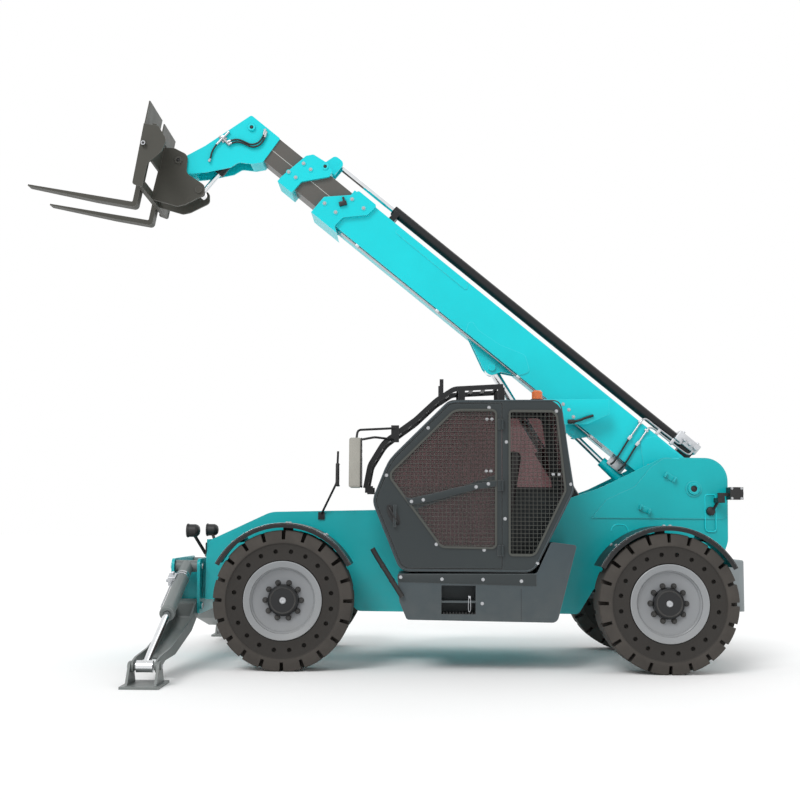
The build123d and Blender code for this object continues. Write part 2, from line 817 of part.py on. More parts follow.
# Levelling cylinder
level_pin = boom_point(level_pin_s, level_pin_t)
level_rod, level_barrel = rod_and_barrel(
    level_pin, (level_base_u, level_base_z), 28, 830, 50, 750, 25, (92, 110)
)
level_rod.label = "level_rod"
export_step(level_rod, "parts/level_rod.step")
level_barrel.label = "level_barrel"
export_step(level_barrel, "parts/level_barrel.step")

# Tilt cylinder between the head and the carriage
tilt_base = boom_point(tilt_base_s, tilt_base_t)
tilt_pin = tool_point(tilt_pin_u, tilt_pin_v)
tilt_line = from_to(tilt_base, tilt_pin)
tilt_reach = distance(tilt_base, tilt_pin)
tilt_radius = 50.0
tilt_barrel_length = 545.0
tilt_rod_length = 537.0
tilt_rod_radius = 25.0
tilt_gland = 30.0
tilt_bore_start = 55.0
with BuildPart(tilt_line) as tilt_barrel:
    Cylinder(tilt_radius, tilt_barrel_length, align=low)
    Cylinder(tilt_radius, 120, rotation=(0, 90, 0))
    Cylinder(tilt_base_radius + play, 130, rotation=(0, 90, 0), mode=Mode.SUBTRACT)
    with Locations((0, 0, tilt_bore_start)):
        Cylinder(
            tilt_radius - 10,
            tilt_barrel_length - tilt_gland - tilt_bore_start,
            align=low,
            mode=Mode.SUBTRACT,
        )
        Cylinder(tilt_rod_radius + play, tilt_barrel_length, align=low, mode=Mode.SUBTRACT)
tilt_barrel.part.label = "tilt_barrel"
export_step(tilt_barrel.part, "parts/tilt_barrel.step")
with BuildPart(tilt_line) as tilt_rod:
    with Locations((0, 0, tilt_reach)):
        Cylinder(tilt_rod_radius, tilt_rod_length, align=high)
        Cylinder(44, 100, rotation=(0, 90, 0))
tilt_rod.part.label = "tilt_rod"
export_step(tilt_rod.part, "parts/tilt_rod.step")

# Fork carriage with its hitch cheeks, backrest and fork shaft
cheek_gap = head_width / 2 + 4
cheek_thickness = 25.0
shaft_u = 240.0
shaft_v = -22.0
hitch_outline = (
    (-78, 70, 60),
    (60, 112, 60),
    (165, 100, 20),
    (185, -425, 20),
    (-80, -450, 60),
    (-150, -420, 40),
    (-320, -290, 50),
    (-300, -195, 50),
    (-100, -110, 60),
)
cheek_outline = (
    (281, 172, 0),
    (140, 172, 20),
    (40, 60, 60),
    (60, -60, 40),
    (170, -200, 60),
    (170, -432, 20),
    (269, -415, 20),
)
with BuildPart(tool()) as fork_carriage:
    for hand in (-1, 1):
        extrude(face(tool(hand * cheek_gap), hitch_outline), amount=hand * cheek_thickness)
        extrude(face(tool(hand * carriage_half), cheek_outline), amount=-hand * 20)
    with Locations((0, 0, 0)):
        Cylinder(tool_pin_radius, 2 * (cheek_gap + cheek_thickness) + 16)
    for u, v, thick, height in ((172, -20, 24, 240), (200, -390, 50, 70), (180, 160, 40, 60)):
        with Locations((u, v, 0)):
            Box(thick, height, 2 * carriage_half - 20)
    with Locations((shaft_u, shaft_v, 0)):
        Cylinder(24, 2 * carriage_half + 60)
    with Locations((270, 270, 0)):
        Box(12, 250, 2 * carriage_half)
    with Locations((270, 258, 0)):
        with GridLocations(1, 196, 1, 6):
            Box(40, 160, 110, mode=Mode.SUBTRACT)
    with Locations((tilt_pin_u, tilt_pin_v, 0)):
        for hand in (-1, 1):
            with Locations((0, 0, hand * (cheek_gap + 20))):
                Cylinder(34, 40)
fork_carriage.part.label = "fork_carriage"
export_step(fork_carriage.part, "parts/fork_carriage.step")

# Two forks hung on the shaft
shank_u = shaft_u
fork_profile = (
    (shank_u, 0, 0),
    (shank_u + fork_thickness, 0, 0),
    (shank_u + fork_thickness, -540, 12),
    (shank_u + fork_length, -558, 0),
    (shank_u + fork_length, -572, 0),
    (shank_u + 400, -590, 300),
    (shank_u, -588, 40),
)
with BuildPart(tool()) as forks:
    for hand in (-1, 1):
        extrude(face(tool(hand * fork_half_spacing), fork_profile), amount=fork_width / 2, both=True)
        with Locations((shaft_u, shaft_v, hand * fork_half_spacing)):
            Cylinder(45, fork_width)
            Cylinder(24 + seat_gap, fork_width + 10, mode=Mode.SUBTRACT)
forks.part.label = "forks"
export_step(forks.part, "parts/forks.step")

# Cab shell: two side walls joined by the strip of the outline, stepped in over the frame
cab_inner_y = -(plate_y + seat_gap)
cab_outline = (
    (-235, 2340, 120),
    (-760, 1815, 500),
    (-900, 1460, 160),
    (-650, cab_bottom_z, 120),
    (500, cab_bottom_z, 130),
    (852, 1560, 110),
    (735, 2350, 150),
)


def cab_face(y, inset=0.0, floor=0.0, rear=3000.0):
    """Cab outline at y, moved in by inset and cut off below floor and behind rear."""
    with BuildSketch(side(y)) as drawn:
        with BuildLine():
            FilletPolyline(
                *[(x, z) for x, z, r in cab_outline], radius=[r for x, z, r in cab_outline], close=True
            )
        make_face()
        if inset:
            offset(amount=-inset, kind=Kind.INTERSECTION)
        with Locations((rear, floor)):
            Rectangle(6000, 6000, align=(Align.MAX, Align.MIN), mode=Mode.INTERSECT)
    return drawn.sketch


door_edge = 26.0
window_edge = 95.0
cab_depth = cab_inner_y - cab_outer_y
upper_depth = cab_upper_inner_y - cab_outer_y
windscreen_opening = (
    (-1000, 1010, 0),
    (-500, 1010, 0),
    (-250, 2000, 0),
    (-190, 2236, 0),
    (-420, 2500, 0),
    (-1000, 1800, 0),
)
upper_windscreen_opening = (
    (-1000, 1560, 0),
    (-361, 1560, 0),
    (-250, 2000, 0),
    (-190, 2236, 0),
    (-420, 2500, 0),
    (-1000, 1800, 0),
)
quarter_opening = ((300, 1010, 20), (500, 1010, 60), (765, 1560, 60), (690, 2240, 60), (300, 2240, 20))
rear_opening = ((600, 1600, 0), (1000, 1600, 0), (1000, 2180, 0), (600, 2180, 0))
roof_opening = ((-90, 2200, 0), (560, 2200, 0), (560, 2500, 0), (-90, 2500, 0))
window_inner_y = cab_upper_inner_y - 70
window_outer_y = cab_outer_y + 75
window_step_y = cab_inner_y - 75
right_pane_floor = cab_step_z + 110
with BuildPart() as cab_frame:
    extrude(cab_face(cab_outer_y), amount=-cab_depth)
    extrude(cab_face(cab_outer_y, floor=cab_step_z), amount=-upper_depth)
    extrude(
        cab_face(cab_outer_y + cab_wall, inset=cab_wall),
        amount=-(cab_depth - 2 * cab_wall),
        mode=Mode.SUBTRACT,
    )
    extrude(
        cab_face(cab_outer_y + cab_wall, inset=cab_wall, floor=cab_step_z + cab_wall),
        amount=-(upper_depth - 2 * cab_wall),
        mode=Mode.SUBTRACT,
    )
    extrude(cab_face(cab_outer_y, inset=door_edge, rear=door_rear_u), amount=-cab_wall, mode=Mode.SUBTRACT)
    # The windscreen reaches over the frame above the step
    extrude(
        face(side(window_outer_y), windscreen_opening),
        amount=window_outer_y - window_step_y,
        mode=Mode.SUBTRACT,
    )
    for opening in (upper_windscreen_opening, rear_opening, roof_opening):
        extrude(
            face(side(window_outer_y), opening),
            amount=window_outer_y - window_inner_y,
            mode=Mode.SUBTRACT,
        )
    extrude(
        cab_face(cab_upper_inner_y, inset=window_edge, floor=right_pane_floor),
        amount=cab_wall,
        mode=Mode.SUBTRACT,
    )
    extrude(face(side(cab_outer_y), quarter_opening), amount=-cab_wall, mode=Mode.SUBTRACT)
cab_frame.part.label = "cab_frame"
export_step(cab_frame.part, "parts/cab_frame.step")

# Cab glass: windscreen, roof, rear and right panes, each just inside its opening
pane = 6.0
pane_inset = 22.0
glass_openings = (
    (windscreen_opening, window_step_y),
    (upper_windscreen_opening, window_inner_y),
    (rear_opening, window_inner_y),
    (roof_opening, window_inner_y),
)
with BuildPart() as cab_glass:
    for opening, far_y in glass_openings:
        with BuildSketch(side(window_outer_y + seat_gap)):
            with BuildLine():
                Polyline(*[(x, z) for x, z, r in opening], close=True)
            make_face()
            offset(amount=-seat_gap, kind=Kind.INTERSECTION)
        extrude(amount=window_outer_y - far_y + 2 * seat_gap)
    extrude(cab_face(cab_outer_y, inset=pane_inset), amount=-upper_depth, mode=Mode.INTERSECT)
    extrude(cab_face(cab_outer_y, inset=pane_inset + pane), amount=-upper_depth, mode=Mode.SUBTRACT)
    extrude(
        cab_face(
            cab_upper_inner_y - cab_wall / 2,
            inset=window_edge + seat_gap,
            floor=right_pane_floor + seat_gap,
        ),
        amount=pane,
    )
cab_glass.part.label = "cab_glass"
export_step(cab_glass.part, "parts/cab_glass.step")


def mesh_bars(y, corners, middle, reach, pitch, upright):
    """Parallel mesh bars at y, cut to the corners of an opening."""
    count = int(reach / pitch) + 1
    with BuildSketch(side(y)) as bars:
        with Locations(middle):
            if upright:
                with GridLocations(pitch, 1, count, 1):
                    Rectangle(mesh_bar, 2 * reach)
            else:
                with GridLocations(1, pitch, 1, count):
                    Rectangle(2 * reach, mesh_bar)
        with BuildLine():
            FilletPolyline(*[(x, z) for x, z, r in corners], radius=[r for x, z, r in corners], close=True)
        make_face(mode=Mode.INTERSECT)
    return bars.sketch


def mesh_frame(y, corners, outward):
    """Flat rim around an opening, from its edge to outward mm beyond it."""
    with BuildSketch(side(y)) as rim_face:
        with BuildLine():
            FilletPolyline(*[(x, z) for x, z, r in corners], radius=[r for x, z, r in corners], close=True)
        make_face()
        offset(amount=outward, kind=Kind.INTERSECTION)
        with BuildLine():
            FilletPolyline(*[(x, z) for x, z, r in corners], radius=[r for x, z, r in corners], close=True)
        make_face(mode=Mode.SUBTRACT)
    return rim_face.sketch


# Rear quarter grille: mesh in a flat rim over the opening behind the door
mesh_bar = 4.0
mesh_pitch = 35.0
mesh_depth = 12.0
rim_overlap = 18.0
mesh_y = cab_outer_y - seat_gap
with BuildPart() as quarter_grille:
    extrude(mesh_frame(mesh_y, quarter_opening, rim_overlap), amount=mesh_depth)
    extrude(mesh_bars(mesh_y, quarter_opening, (530, 1625), 700, mesh_pitch, True), amount=mesh_bar)
    extrude(
        mesh_bars(mesh_y - mesh_depth + mesh_bar, quarter_opening, (530, 1625), 1300, mesh_pitch, False),
        amount=mesh_bar,
    )
quarter_grille.part.label = "quarter_grille"
export_step(quarter_grille.part, "parts/quarter_grille.step")

# Cab door: curved plate hinged at its rear edge, with one window above and one below a slanting bar
upper_window = (
    (-748, 1682, 60),
    (-183, 2244, 120),
    (165, 2246, 30),
    (165, 1690, 20),
    (-180, 1570, 300),
    (-590, 1480, 30),
)
lower_window = (
    (-520, 1395, 30),
    (-180, 1500, 300),
    (165, 1620, 20),
    (165, 1070, 30),
    (-291, 1075, 60),
)
hinge_y = cab_outer_y - 25
hinge_radius = 12.0
with BuildPart() as cab_door:
    extrude(
        cab_face(cab_outer_y, inset=door_edge + door_gap, rear=door_rear_u - door_gap), amount=-cab_wall
    )
    extrude(face(side(cab_outer_y), upper_window), amount=-cab_wall, mode=Mode.SUBTRACT)
    extrude(face(side(cab_outer_y), lower_window), amount=-cab_wall, mode=Mode.SUBTRACT)
    # Handle with its two feet
    with Locations(at(-700, cab_outer_y - 30, 1330)):
        Box(24, 16, 190)
    with Locations(at(-700, cab_outer_y - 12, 1410), at(-700, cab_outer_y - 12, 1250)):
        Box(24, 26, 24)
    # Hinges
    with Locations(*[at(door_rear_u, hinge_y, z) for z in (1040, 1600, 2130)]):
        Cylinder(hinge_radius, 90)
        with Locations((-21, 10, 0)):
            Box(40, 6, 90)
        with Locations((-26, 18, 0)):
            Box(30, 16, 90)
cab_door.part.label = "cab_door"
export_step(cab_door.part, "parts/cab_door.step")

# Door glass
door_pane_y = cab_outer_y + cab_wall / 2
with BuildPart() as door_glass:
    for window in (upper_window, lower_window):
        with BuildSketch(side(door_pane_y)):
            with BuildLine():
                FilletPolyline(*[(x, z) for x, z, r in window], radius=[r for x, z, r in window], close=True)
            make_face()
            offset(amount=-seat_gap, kind=Kind.INTERSECTION)
        extrude(amount=pane)
door_glass.part.label = "door_glass"
export_step(door_glass.part, "parts/door_glass.step")

# Door grille: mesh in a flat rim over both windows
door_mesh = ((-748, 1682, 60), (-183, 2244, 120), (165, 2246, 30), (165, 1070, 30), (-291, 1075, 60))
with BuildPart() as door_grille:
    extrude(mesh_frame(mesh_y, door_mesh, rim_overlap), amount=mesh_depth)
    extrude(mesh_bars(mesh_y, door_mesh, (-290, 1660), 1000, mesh_pitch, True), amount=mesh_bar)
    extrude(
        mesh_bars(mesh_y - mesh_depth + mesh_bar, door_mesh, (-290, 1660), 1300, mesh_pitch, False),
        amount=mesh_bar,
    )
door_grille.part.label = "door_grille"
export_step(door_grille.part, "parts/door_grille.step")

# Roof guard: two bent rails over the windscreen and roof with slats across
guard_path = (
    (247, 2478),
    (-187, 2452),
    (-342, 2350),
    (-526, 2177),
    (-803, 1974),
    (-924, 1772),
    (-961, 1571),
)
guard_bends = (120, 300, 400, 250, 150)
guard_side_y = 265.0
guard_middle_y = -740.0
guard_slats = 15
with BuildPart() as roof_guard:
    for hand in (-1, 1):
        with BuildSketch(side(guard_middle_y + hand * guard_side_y)) as rail:
            with BuildLine() as guard_line:
                FilletPolyline(*guard_path, radius=guard_bends)
            trace(line_width=44)
        extrude(amount=-hand * 10)
        # Feet down to the roof and forward of the windscreen's lower edge
        with Locations(at(230, guard_middle_y + hand * (guard_side_y + 5), 2349)):
            Box(60, 10, 120, align=low)
        with Locations(at(-120, guard_middle_y + hand * (guard_side_y + 5), 2342)):
            Box(60, 10, 100, align=low)
        with Locations(at(-930, guard_middle_y + hand * (guard_side_y + 5), 1560)):
            Box(70, 10, 60)
        # Lamp stub on the rail
        with Locations(at(-298, guard_middle_y + hand * (guard_side_y + 5), 2360)):
            Box(34, 10, 178, align=low)
    with Locations(side(guard_middle_y)):
        for index in range(guard_slats):
            share = (index + 0.5) / guard_slats
            spot = guard_line.wires()[0] @ share
            run = guard_line.wires()[0] % share
            with Locations(Location((spot.X, spot.Y, 0), (0, 0, degrees(atan2(run.Y, run.X))))):
                Box(36, 8, 2 * guard_side_y)
roof_guard.part.label = "roof_guard"
export_step(roof_guard.part, "parts/roof_guard.step")

# Mirror on two arms, a post on the frame and the bent grab rail below the door
guard_outer_y = guard_middle_y - guard_side_y - 10 - seat_gap
grab_radius = 22.0
grab_y = cab_outer_y - grab_radius - seat_gap
with BuildPart() as cab_rails:
    for points, bends, radius in (
        ((at(-700, guard_outer_y - 6, 2100), at(-1030, -1110, 2075), at(-1040, -1150, 1990)), (40,), 10),
        ((at(-715, guard_outer_y - 6, 2000), at(-880, -1150, 2010), at(-1040, -1150, 1980)), (60,), 10),
        ((at(-1385, -plate_y - 9, 1345), at(-1237, -620, 1632), at(-1228, -640, 1915)), (120,), 10),
        ((at(-890, grab_y, 1050), at(-850, grab_y, 980), at(-630, grab_y, 640)), (60,), grab_radius),
    ):
        with BuildLine() as path:
            FilletPolyline(*points, radius=bends)
        with BuildSketch(Plane(origin=path.wires()[0] @ 0, z_dir=path.wires()[0] % 0)):
            Circle(radius)
        sweep()
    # Plates that hold the arms to the guard and the post to the frame
    with Locations(at(-705, guard_outer_y, 2050)):
        Box(70, 12, 150, align=(Align.CENTER, Align.MAX, Align.CENTER))
    with Locations(at(-1385, -plate_y - seat_gap, 1330)):
        Box(60, 12, 70, align=(Align.CENTER, Align.MAX, Align.CENTER))
    with Locations(at(-1040, -1150, 1785)):
        Box(90, 180, 410)
    with Locations(at(-1228, -640, 1700)):
        Box(24, 120, 200)
cab_rails.part.label = "cab_rails"
export_step(cab_rails.part, "parts/cab_rails.step")

# Driver's seat on its pedestal
seat_u = 60.0
seat_y = -800.0
floor_top = cab_bottom_z + cab_wall
with BuildPart() as cab_seat:
    with Locations(at(seat_u, seat_y, floor_top + seat_gap)):
        Box(360, 380, 330, align=low)
    with Locations(at(seat_u - 20, seat_y, floor_top + 330)):
        Box(500, 480, 130, align=low)
    with Locations(at(seat_u + 210, seat_y, floor_top + 400)):
        Box(120, 460, 620, rotation=(0, 8, 0), align=low)
    for hand in (-1, 1):
        with Locations(at(seat_u + 20, seat_y + hand * 250, floor_top + 560)):
            Box(340, 50, 60)
        with Locations(at(seat_u + 120, seat_y + hand * 240, floor_top + 460)):
            Box(60, 40, 220)
cab_seat.part.label = "cab_seat"
export_step(cab_seat.part, "parts/cab_seat.step")

# Dashboard with the steering column and wheel
wheel_plane = Plane(origin=at(-400, seat_y, floor_top + 540), x_dir=(0, 1, 0), z_dir=(0.45, 0, 1))
with BuildPart() as cab_console:
    with Locations(at(-480, seat_y, floor_top + seat_gap)):
        Box(140, 460, 420, align=low)
    with Locations(wheel_plane):
        Cylinder(200, 26)
        Cylinder(170, 40, mode=Mode.SUBTRACT)
        Cylinder(24, 420, align=high)
        Cylinder(45, 30)
        Box(370, 24, 14)
        Box(24, 370, 14)
cab_console.part.label = "cab_console"
export_step(cab_console.part, "parts/cab_console.step")

# Beacon on the roof
beacon_u = 557.0
beacon_y = -900.0
roof_top = 2349.0
with BuildPart() as beacon:
    with Locations(at(beacon_u, beacon_y, roof_top)):
        Cylinder(62, 24, align=low)
        Cylinder(48, 105, align=low)
    chamfer(beacon.faces().sort_by(Axis.Z)[-1].edges(), 14)
beacon.part.label = "beacon"
export_step(beacon.part, "parts/beacon.step")

# Work lamps: two on the front plate and two on arms at the tower
with BuildPart() as lamps:
    for hand in (-1, 1):
        with Locations(at(front_plate_u - seat_gap, hand * 395, 1010)):
            Box(10, 90, 130, align=(Align.MAX, Align.CENTER, Align.CENTER))
        with BuildLine() as stalk:
            FilletPolyline(
                at(front_plate_u - 14, hand * 395, 970),
                at(front_plate_u - 40, hand * 420, 1020),
                at(-2545, hand * 520, 1150),
                radius=(60,),
            )
        with BuildSketch(Plane(origin=stalk.wires()[0] @ 0, z_dir=stalk.wires()[0] % 0)):
            Circle(15)
        sweep()
        with Locations(at(-2560, hand * 535, 1185)):
            Cylinder(58, 70, rotation=(0, 90, 0))
    for hand in (-1, 1):
        with Locations(at(2378, hand * 600, 1560)):
            Box(118, 150, 112)
        with Locations(at(2300, hand * 600, 1550)):
            Box(80, 30, 30)
        with Locations(at(2240, hand * (doubler_y + seat_gap), 1500)):
            Box(40, 170, 40, align=(Align.CENTER, Align.MIN if hand > 0 else Align.MAX, Align.CENTER))
        with Locations(at(2255, hand * 600, 1520)):
            Box(60, 30, 90)
lamps.part.label = "lamps"
export_step(lamps.part, "parts/lamps.step")

# Engine side: tray with its hood posts, the engine as one block, the hood
tray_wall = 20.0
pod_length = pod_rear_u - pod_front_u
pod_middle_u = (pod_rear_u + pod_front_u) / 2
tray_inner_y = plate_y + seat_gap
pod_width = pod_outer_y - tray_inner_y
pod_middle_y = (pod_outer_y + tray_inner_y) / 2
hood_axis_y = 474.0
hood_axis_z = 1446.0
hood_inner_y = 497.0
hood_pin_radius = 10.0
hood_posts = (pod_middle_u - 500, pod_middle_u + 500)
with BuildPart() as engine_pod:
    with Locations(at(pod_middle_u, pod_middle_y, pod_bottom_z)):
        Box(pod_length, pod_width, pod_split_z - pod_bottom_z, align=low)
    fillet(engine_pod.edges().filter_by(Axis.X).sort_by(Axis.Z)[:2].sort_by(Axis.Y)[-1], 60)
    with Locations(at(pod_middle_u, pod_middle_y, pod_bottom_z + tray_wall)):
        Box(
            pod_length - 2 * tray_wall,
            pod_width - 2 * tray_wall,
            pod_split_z - pod_bottom_z,
            align=low,
            mode=Mode.SUBTRACT,
        )
    for post_u in hood_posts:
        with Locations(at(post_u, tray_inner_y, pod_split_z - 60)):
            Box(60, 16, hood_axis_z - pod_split_z + 60, align=(Align.CENTER, Align.MIN, Align.MIN))
        with Locations(at(post_u, hood_axis_y, hood_axis_z)):
            Cylinder(18, 60, rotation=(0, 90, 0))
    with Locations(*[at(post_u, hood_axis_y, hood_axis_z) for post_u in hood_posts]):
        Cylinder(hood_pin_radius + play, 80, rotation=(0, 90, 0), mode=Mode.SUBTRACT)
engine_pod.part.label = "engine_pod"
export_step(engine_pod.part, "parts/engine_pod.step")

engine_bottom_z = 520.0
with BuildPart() as engine_block:
    with Locations(at(0, 800, engine_bottom_z)):
        Box(900, 450, 600, align=low)
        with GridLocations(700, 330, 2, 2):
            Box(80, 80, engine_bottom_z - pod_bottom_z - tray_wall - seat_gap, align=high)
engine_block.part.label = "engine_block"
export_step(engine_block.part, "parts/engine_block.step")

hood_bottom_z = pod_split_z + 5
slot_length = 300.0
slot_height = 18.0
slot_pitch = 45.0
slot_spacing = 380.0
slot_middle_z = 1130.0
hood_width = pod_outer_y - hood_inner_y
with BuildPart() as engine_hood:
    with Locations(at(pod_middle_u, hood_inner_y, hood_bottom_z)):
        Box(pod_length, hood_width, pod_top_z - hood_bottom_z, align=(Align.CENTER, Align.MIN, Align.MIN))
    fillet(engine_hood.edges().filter_by(Axis.X).sort_by(Axis.Z)[-2:].sort_by(Axis.Y)[-1], 140)
    with Locations(at(pod_middle_u, hood_inner_y, hood_bottom_z)):
        Box(
            pod_length - 2 * hood_wall,
            hood_width - hood_wall,
            pod_top_z - hood_bottom_z - hood_wall,
            align=(Align.CENTER, Align.MIN, Align.MIN),
            mode=Mode.SUBTRACT,
        )
    # Air slots through the outer side
    with Locations(
        *[
            at(pod_middle_u + column * slot_spacing, pod_outer_y, slot_middle_z + rise * slot_pitch)
            for column in (-1, 0, 1)
            for rise in range(-3, 4)
        ]
    ):
        Box(slot_length, 3 * hood_wall, slot_height, mode=Mode.SUBTRACT)
    for post_u in hood_posts:
        with Locations(at(post_u, hood_axis_y, hood_axis_z)):
            Cylinder(hood_pin_radius, 100, rotation=(0, 90, 0))
            with Locations((-44, 0, 0), (44, 0, 0)):
                Box(12, 60, 24, align=(Align.CENTER, Align.MIN, Align.CENTER))
                Cylinder(14, 12, rotation=(0, 90, 0))
engine_hood.part.label = "engine_hood"
export_step(engine_hood.part, "parts/engine_hood.step")

# Box with the step below the door
step_outline = (
    (-675, 835, 30),
    (-655, 600, 60),
    (-590, 445, 30),
    (700, 430, 60),
    (870, 1090, 20),
    (690, 1112, 20),
    (648, 1112, 20),
    (525, 845, 40),
)
with BuildPart() as step_box:
    extrude(face(side(cab_outer_y), step_outline), amount=-(cab_inner_y - cab_outer_y))
    with Locations(at(-147, cab_outer_y, 495)):
        Box(295, 500, 245, align=low, mode=Mode.SUBTRACT)
    with Locations(at(-147, cab_outer_y + 130, 600)):
        Box(295, 240, 16)
step_box.part.label = "step_box"
export_step(step_box.part, "parts/step_box.step")
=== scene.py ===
from math import atan2, cos, pi, radians, sin

import bpy
from bpy.props import FloatProperty, FloatVectorProperty, IntProperty, PointerProperty
from mathutils import Matrix, Vector


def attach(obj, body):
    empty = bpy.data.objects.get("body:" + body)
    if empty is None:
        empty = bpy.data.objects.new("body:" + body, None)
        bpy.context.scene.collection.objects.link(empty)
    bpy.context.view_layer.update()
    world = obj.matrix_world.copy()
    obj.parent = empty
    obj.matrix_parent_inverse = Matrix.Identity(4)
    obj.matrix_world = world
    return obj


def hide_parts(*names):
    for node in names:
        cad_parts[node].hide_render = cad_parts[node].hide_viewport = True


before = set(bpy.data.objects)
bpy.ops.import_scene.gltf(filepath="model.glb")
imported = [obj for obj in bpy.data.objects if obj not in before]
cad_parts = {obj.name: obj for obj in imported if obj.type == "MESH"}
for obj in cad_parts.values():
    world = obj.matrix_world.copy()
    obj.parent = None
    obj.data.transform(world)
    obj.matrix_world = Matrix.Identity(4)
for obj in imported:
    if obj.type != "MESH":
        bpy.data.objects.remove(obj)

bl_info = {
    "name": "Telehandler dressing",
    "version": (1, 0, 0),
    "blender": (4, 5, 0),
    "location": "View3D > Sidebar > Telehandler",
    "description": "Dresses the packed telehandler with its finishes, fittings, seat and stage",
    "category": "Object",
}

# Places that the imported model's source names, in metres in the shared frame
MIDDLE_X = 0.88
BOOM_PIVOT = (2.918, 1.603)
BOOM_LEAN = radians(39.2)
TOOL_LEAN = radians(10.3)
CAB_FACE = -1.15
WHEELS = (
    ("front_left", -0.775, -1), ("front_right", -0.775, 1), ("rear_left", 2.535, -1), ("rear_right", 2.535, 1),
)
TYRE_MIDDLE_Y = 1.0
HALF_WHEELBASE = 1.655
MUDGUARD_REACH = radians(62)
STABILIZER_U = -2.61
RAM_PIN = (0.46, 0.86)
LEG_PIN = (0.42, 0.5)
FOOT_PIN = (2.15, 0.15)
HOOD_FACE = 1.15
SEAT_Y = -0.8
AXLE_Z = 0.6

# Finishes that many fittings share, and the data type of the colour mixes
ZINC = "Zinc-plated steel"
BLACK = "Satin black paint"
PLASTIC = "Black plastic"
RGBA = {"data_type": "RGBA"}


def linear(code):
    """Scene-linear colour of an sRGB hex code."""
    parts = [int(code[i:i + 2], 16) / 255 for i in (0, 2, 4)]
    return [p / 12.92 if p <= 0.04045 else ((p + 0.055) / 1.055) ** 2.4 for p in parts] + [1.0]


def colour(name, description, code):
    """Colour property with its default given as an sRGB hex code."""
    return FloatVectorProperty(
        name=name, description=description, subtype="COLOR", size=4, min=0, max=1, default=linear(code)
    )


def length(name, description, default):
    """Length property in metres."""
    return FloatProperty(name=name, description=description, unit="LENGTH", min=0, default=default)


class TelehandlerColours(bpy.types.PropertyGroup):
    boom: colour("Boom paint", "Gloss paint of the boom and hood", "00D2DB")
    chassis: colour("Chassis paint", "Gloss paint of the frame and tower", "00B2B8")
    shell: colour("Cab paint", "Satin paint of the cab and its door", "2B3234")
    skirt: colour("Skirt paint", "Satin paint of the step box", "3B464B")
    black: colour("Black paint", "Satin black of guards, brackets and bars", "17181A")
    section: colour("Inner section paint", "Dark grey of the sliding boom section", "5A5753")
    carriage: colour("Carriage paint", "Dark paint of the carriage and forks", "474640")
    leg: colour("Stabilizer paint", "Grey of the stabilizer legs and feet", "6F7676")
    weight: colour("Counterweight paint", "Light grey of the rear weight", "8A9295")
    rim: colour("Rim paint", "Silver-grey of the rims", "8C8F92")
    rubber: colour("Tyre rubber", "Solid tyre compound", "2D2A27")
    beacon: colour("Beacon lens", "Amber lens on the roof", "FA7A26")
    floor: colour("Floor", "Studio floor", "FFFFFF")


class TelehandlerSizes(bpy.types.PropertyGroup):
    aperture: length("Tyre aperture", "Radius of the holes in the tyre's wall", 0.0205)
    nut: length("Wheel nut", "Radius over the corners of a wheel nut", 0.019)
    nut_count: IntProperty(name="Wheel nuts", description="Nuts on each wheel", min=3, default=10)
    bolt: length("Bolt", "Radius over the corners of a panel bolt", 0.011)
    pipe: length("Pipe", "Radius of the steel hydraulic pipes", 0.009)
    hose: length("Hose", "Radius of the hydraulic hoses", 0.0088)


def at(u, y, z):
    """Point from the middle of the wheelbase."""
    return Vector((MIDDLE_X + u, y, z))


def on_boom(s, t, y):
    """Point along and above the boom's line from its pivot."""
    c, k = cos(BOOM_LEAN), sin(BOOM_LEAN)
    return Vector((BOOM_PIVOT[0] - s * c + t * k, y, BOOM_PIVOT[1] + s * k + t * c))


# Pivot of the carriage on the boom's nose
NOSE = on_boom(5.788, -0.638, 0)


def facing(y, pairs):
    """Points on an upright plane along the machine, from pairs of u and z."""
    return [at(u, y, z) for u, z in pairs]


def on_tool(u, v, y):
    """Point forward and above the carriage's pivot."""
    c, k = cos(TOOL_LEAN), sin(TOOL_LEAN)
    return Vector((NOSE.x - u * c + v * k, y, NOSE.z + u * k + v * c))


def alone():
    """Object mode with nothing selected."""
    if bpy.context.mode != "OBJECT":
        bpy.ops.object.mode_set(mode="OBJECT")
    bpy.ops.object.select_all(action="DESELECT")


def pick(*pieces):
    """Select only these pieces, the first one active."""
    alone()
    for piece in pieces:
        piece.select_set(True)
    bpy.context.view_layer.objects.active = pieces[0]


def added():
    """The object that an operator has just added, with its place moved into its mesh."""
    piece = bpy.context.object
    bpy.ops.object.transform_apply(location=True, rotation=True, scale=True)
    return piece


def modified(piece, kind, **settings):
    """Add one modifier and apply it."""
    pick(piece)
    modifier = piece.modifiers.new(kind, kind)
    for key, value in settings.items():
        setattr(modifier, key, value)
    bpy.ops.object.modifier_apply(modifier=modifier.name)
    return piece


def rounded(piece, width, segments=2, angle=40):
    """Round the sharp edges and shade the rest smooth."""
    modified(
        piece, "BEVEL", width=width, segments=segments, limit_method="ANGLE", angle_limit=radians(angle),
        harden_normals=False,
    )
    return smooth(piece)


def smooth(piece, angle=35):
    """Smooth shading up to an angle."""
    pick(piece)
    bpy.ops.object.shade_smooth_by_angle(angle=radians(angle))
    return piece


def joined(pieces):
    """Join pieces to one."""
    pick(*pieces)
    if len(pieces) > 1:
        bpy.ops.object.join()
    return bpy.context.object


def outline(corners, fill="NOTHING"):
    """Flat loop with a vertex at each corner."""
    alone()
    bpy.ops.mesh.primitive_circle_add(vertices=len(corners), radius=1, fill_type=fill)
    piece = bpy.context.object
    for vertex, corner in zip(piece.data.vertices, corners):
        vertex.co = corner
    return piece


def edited(piece):
    """Edit mode with the whole piece selected."""
    pick(piece)
    bpy.ops.object.mode_set(mode="EDIT")
    bpy.ops.mesh.select_all(action="SELECT")


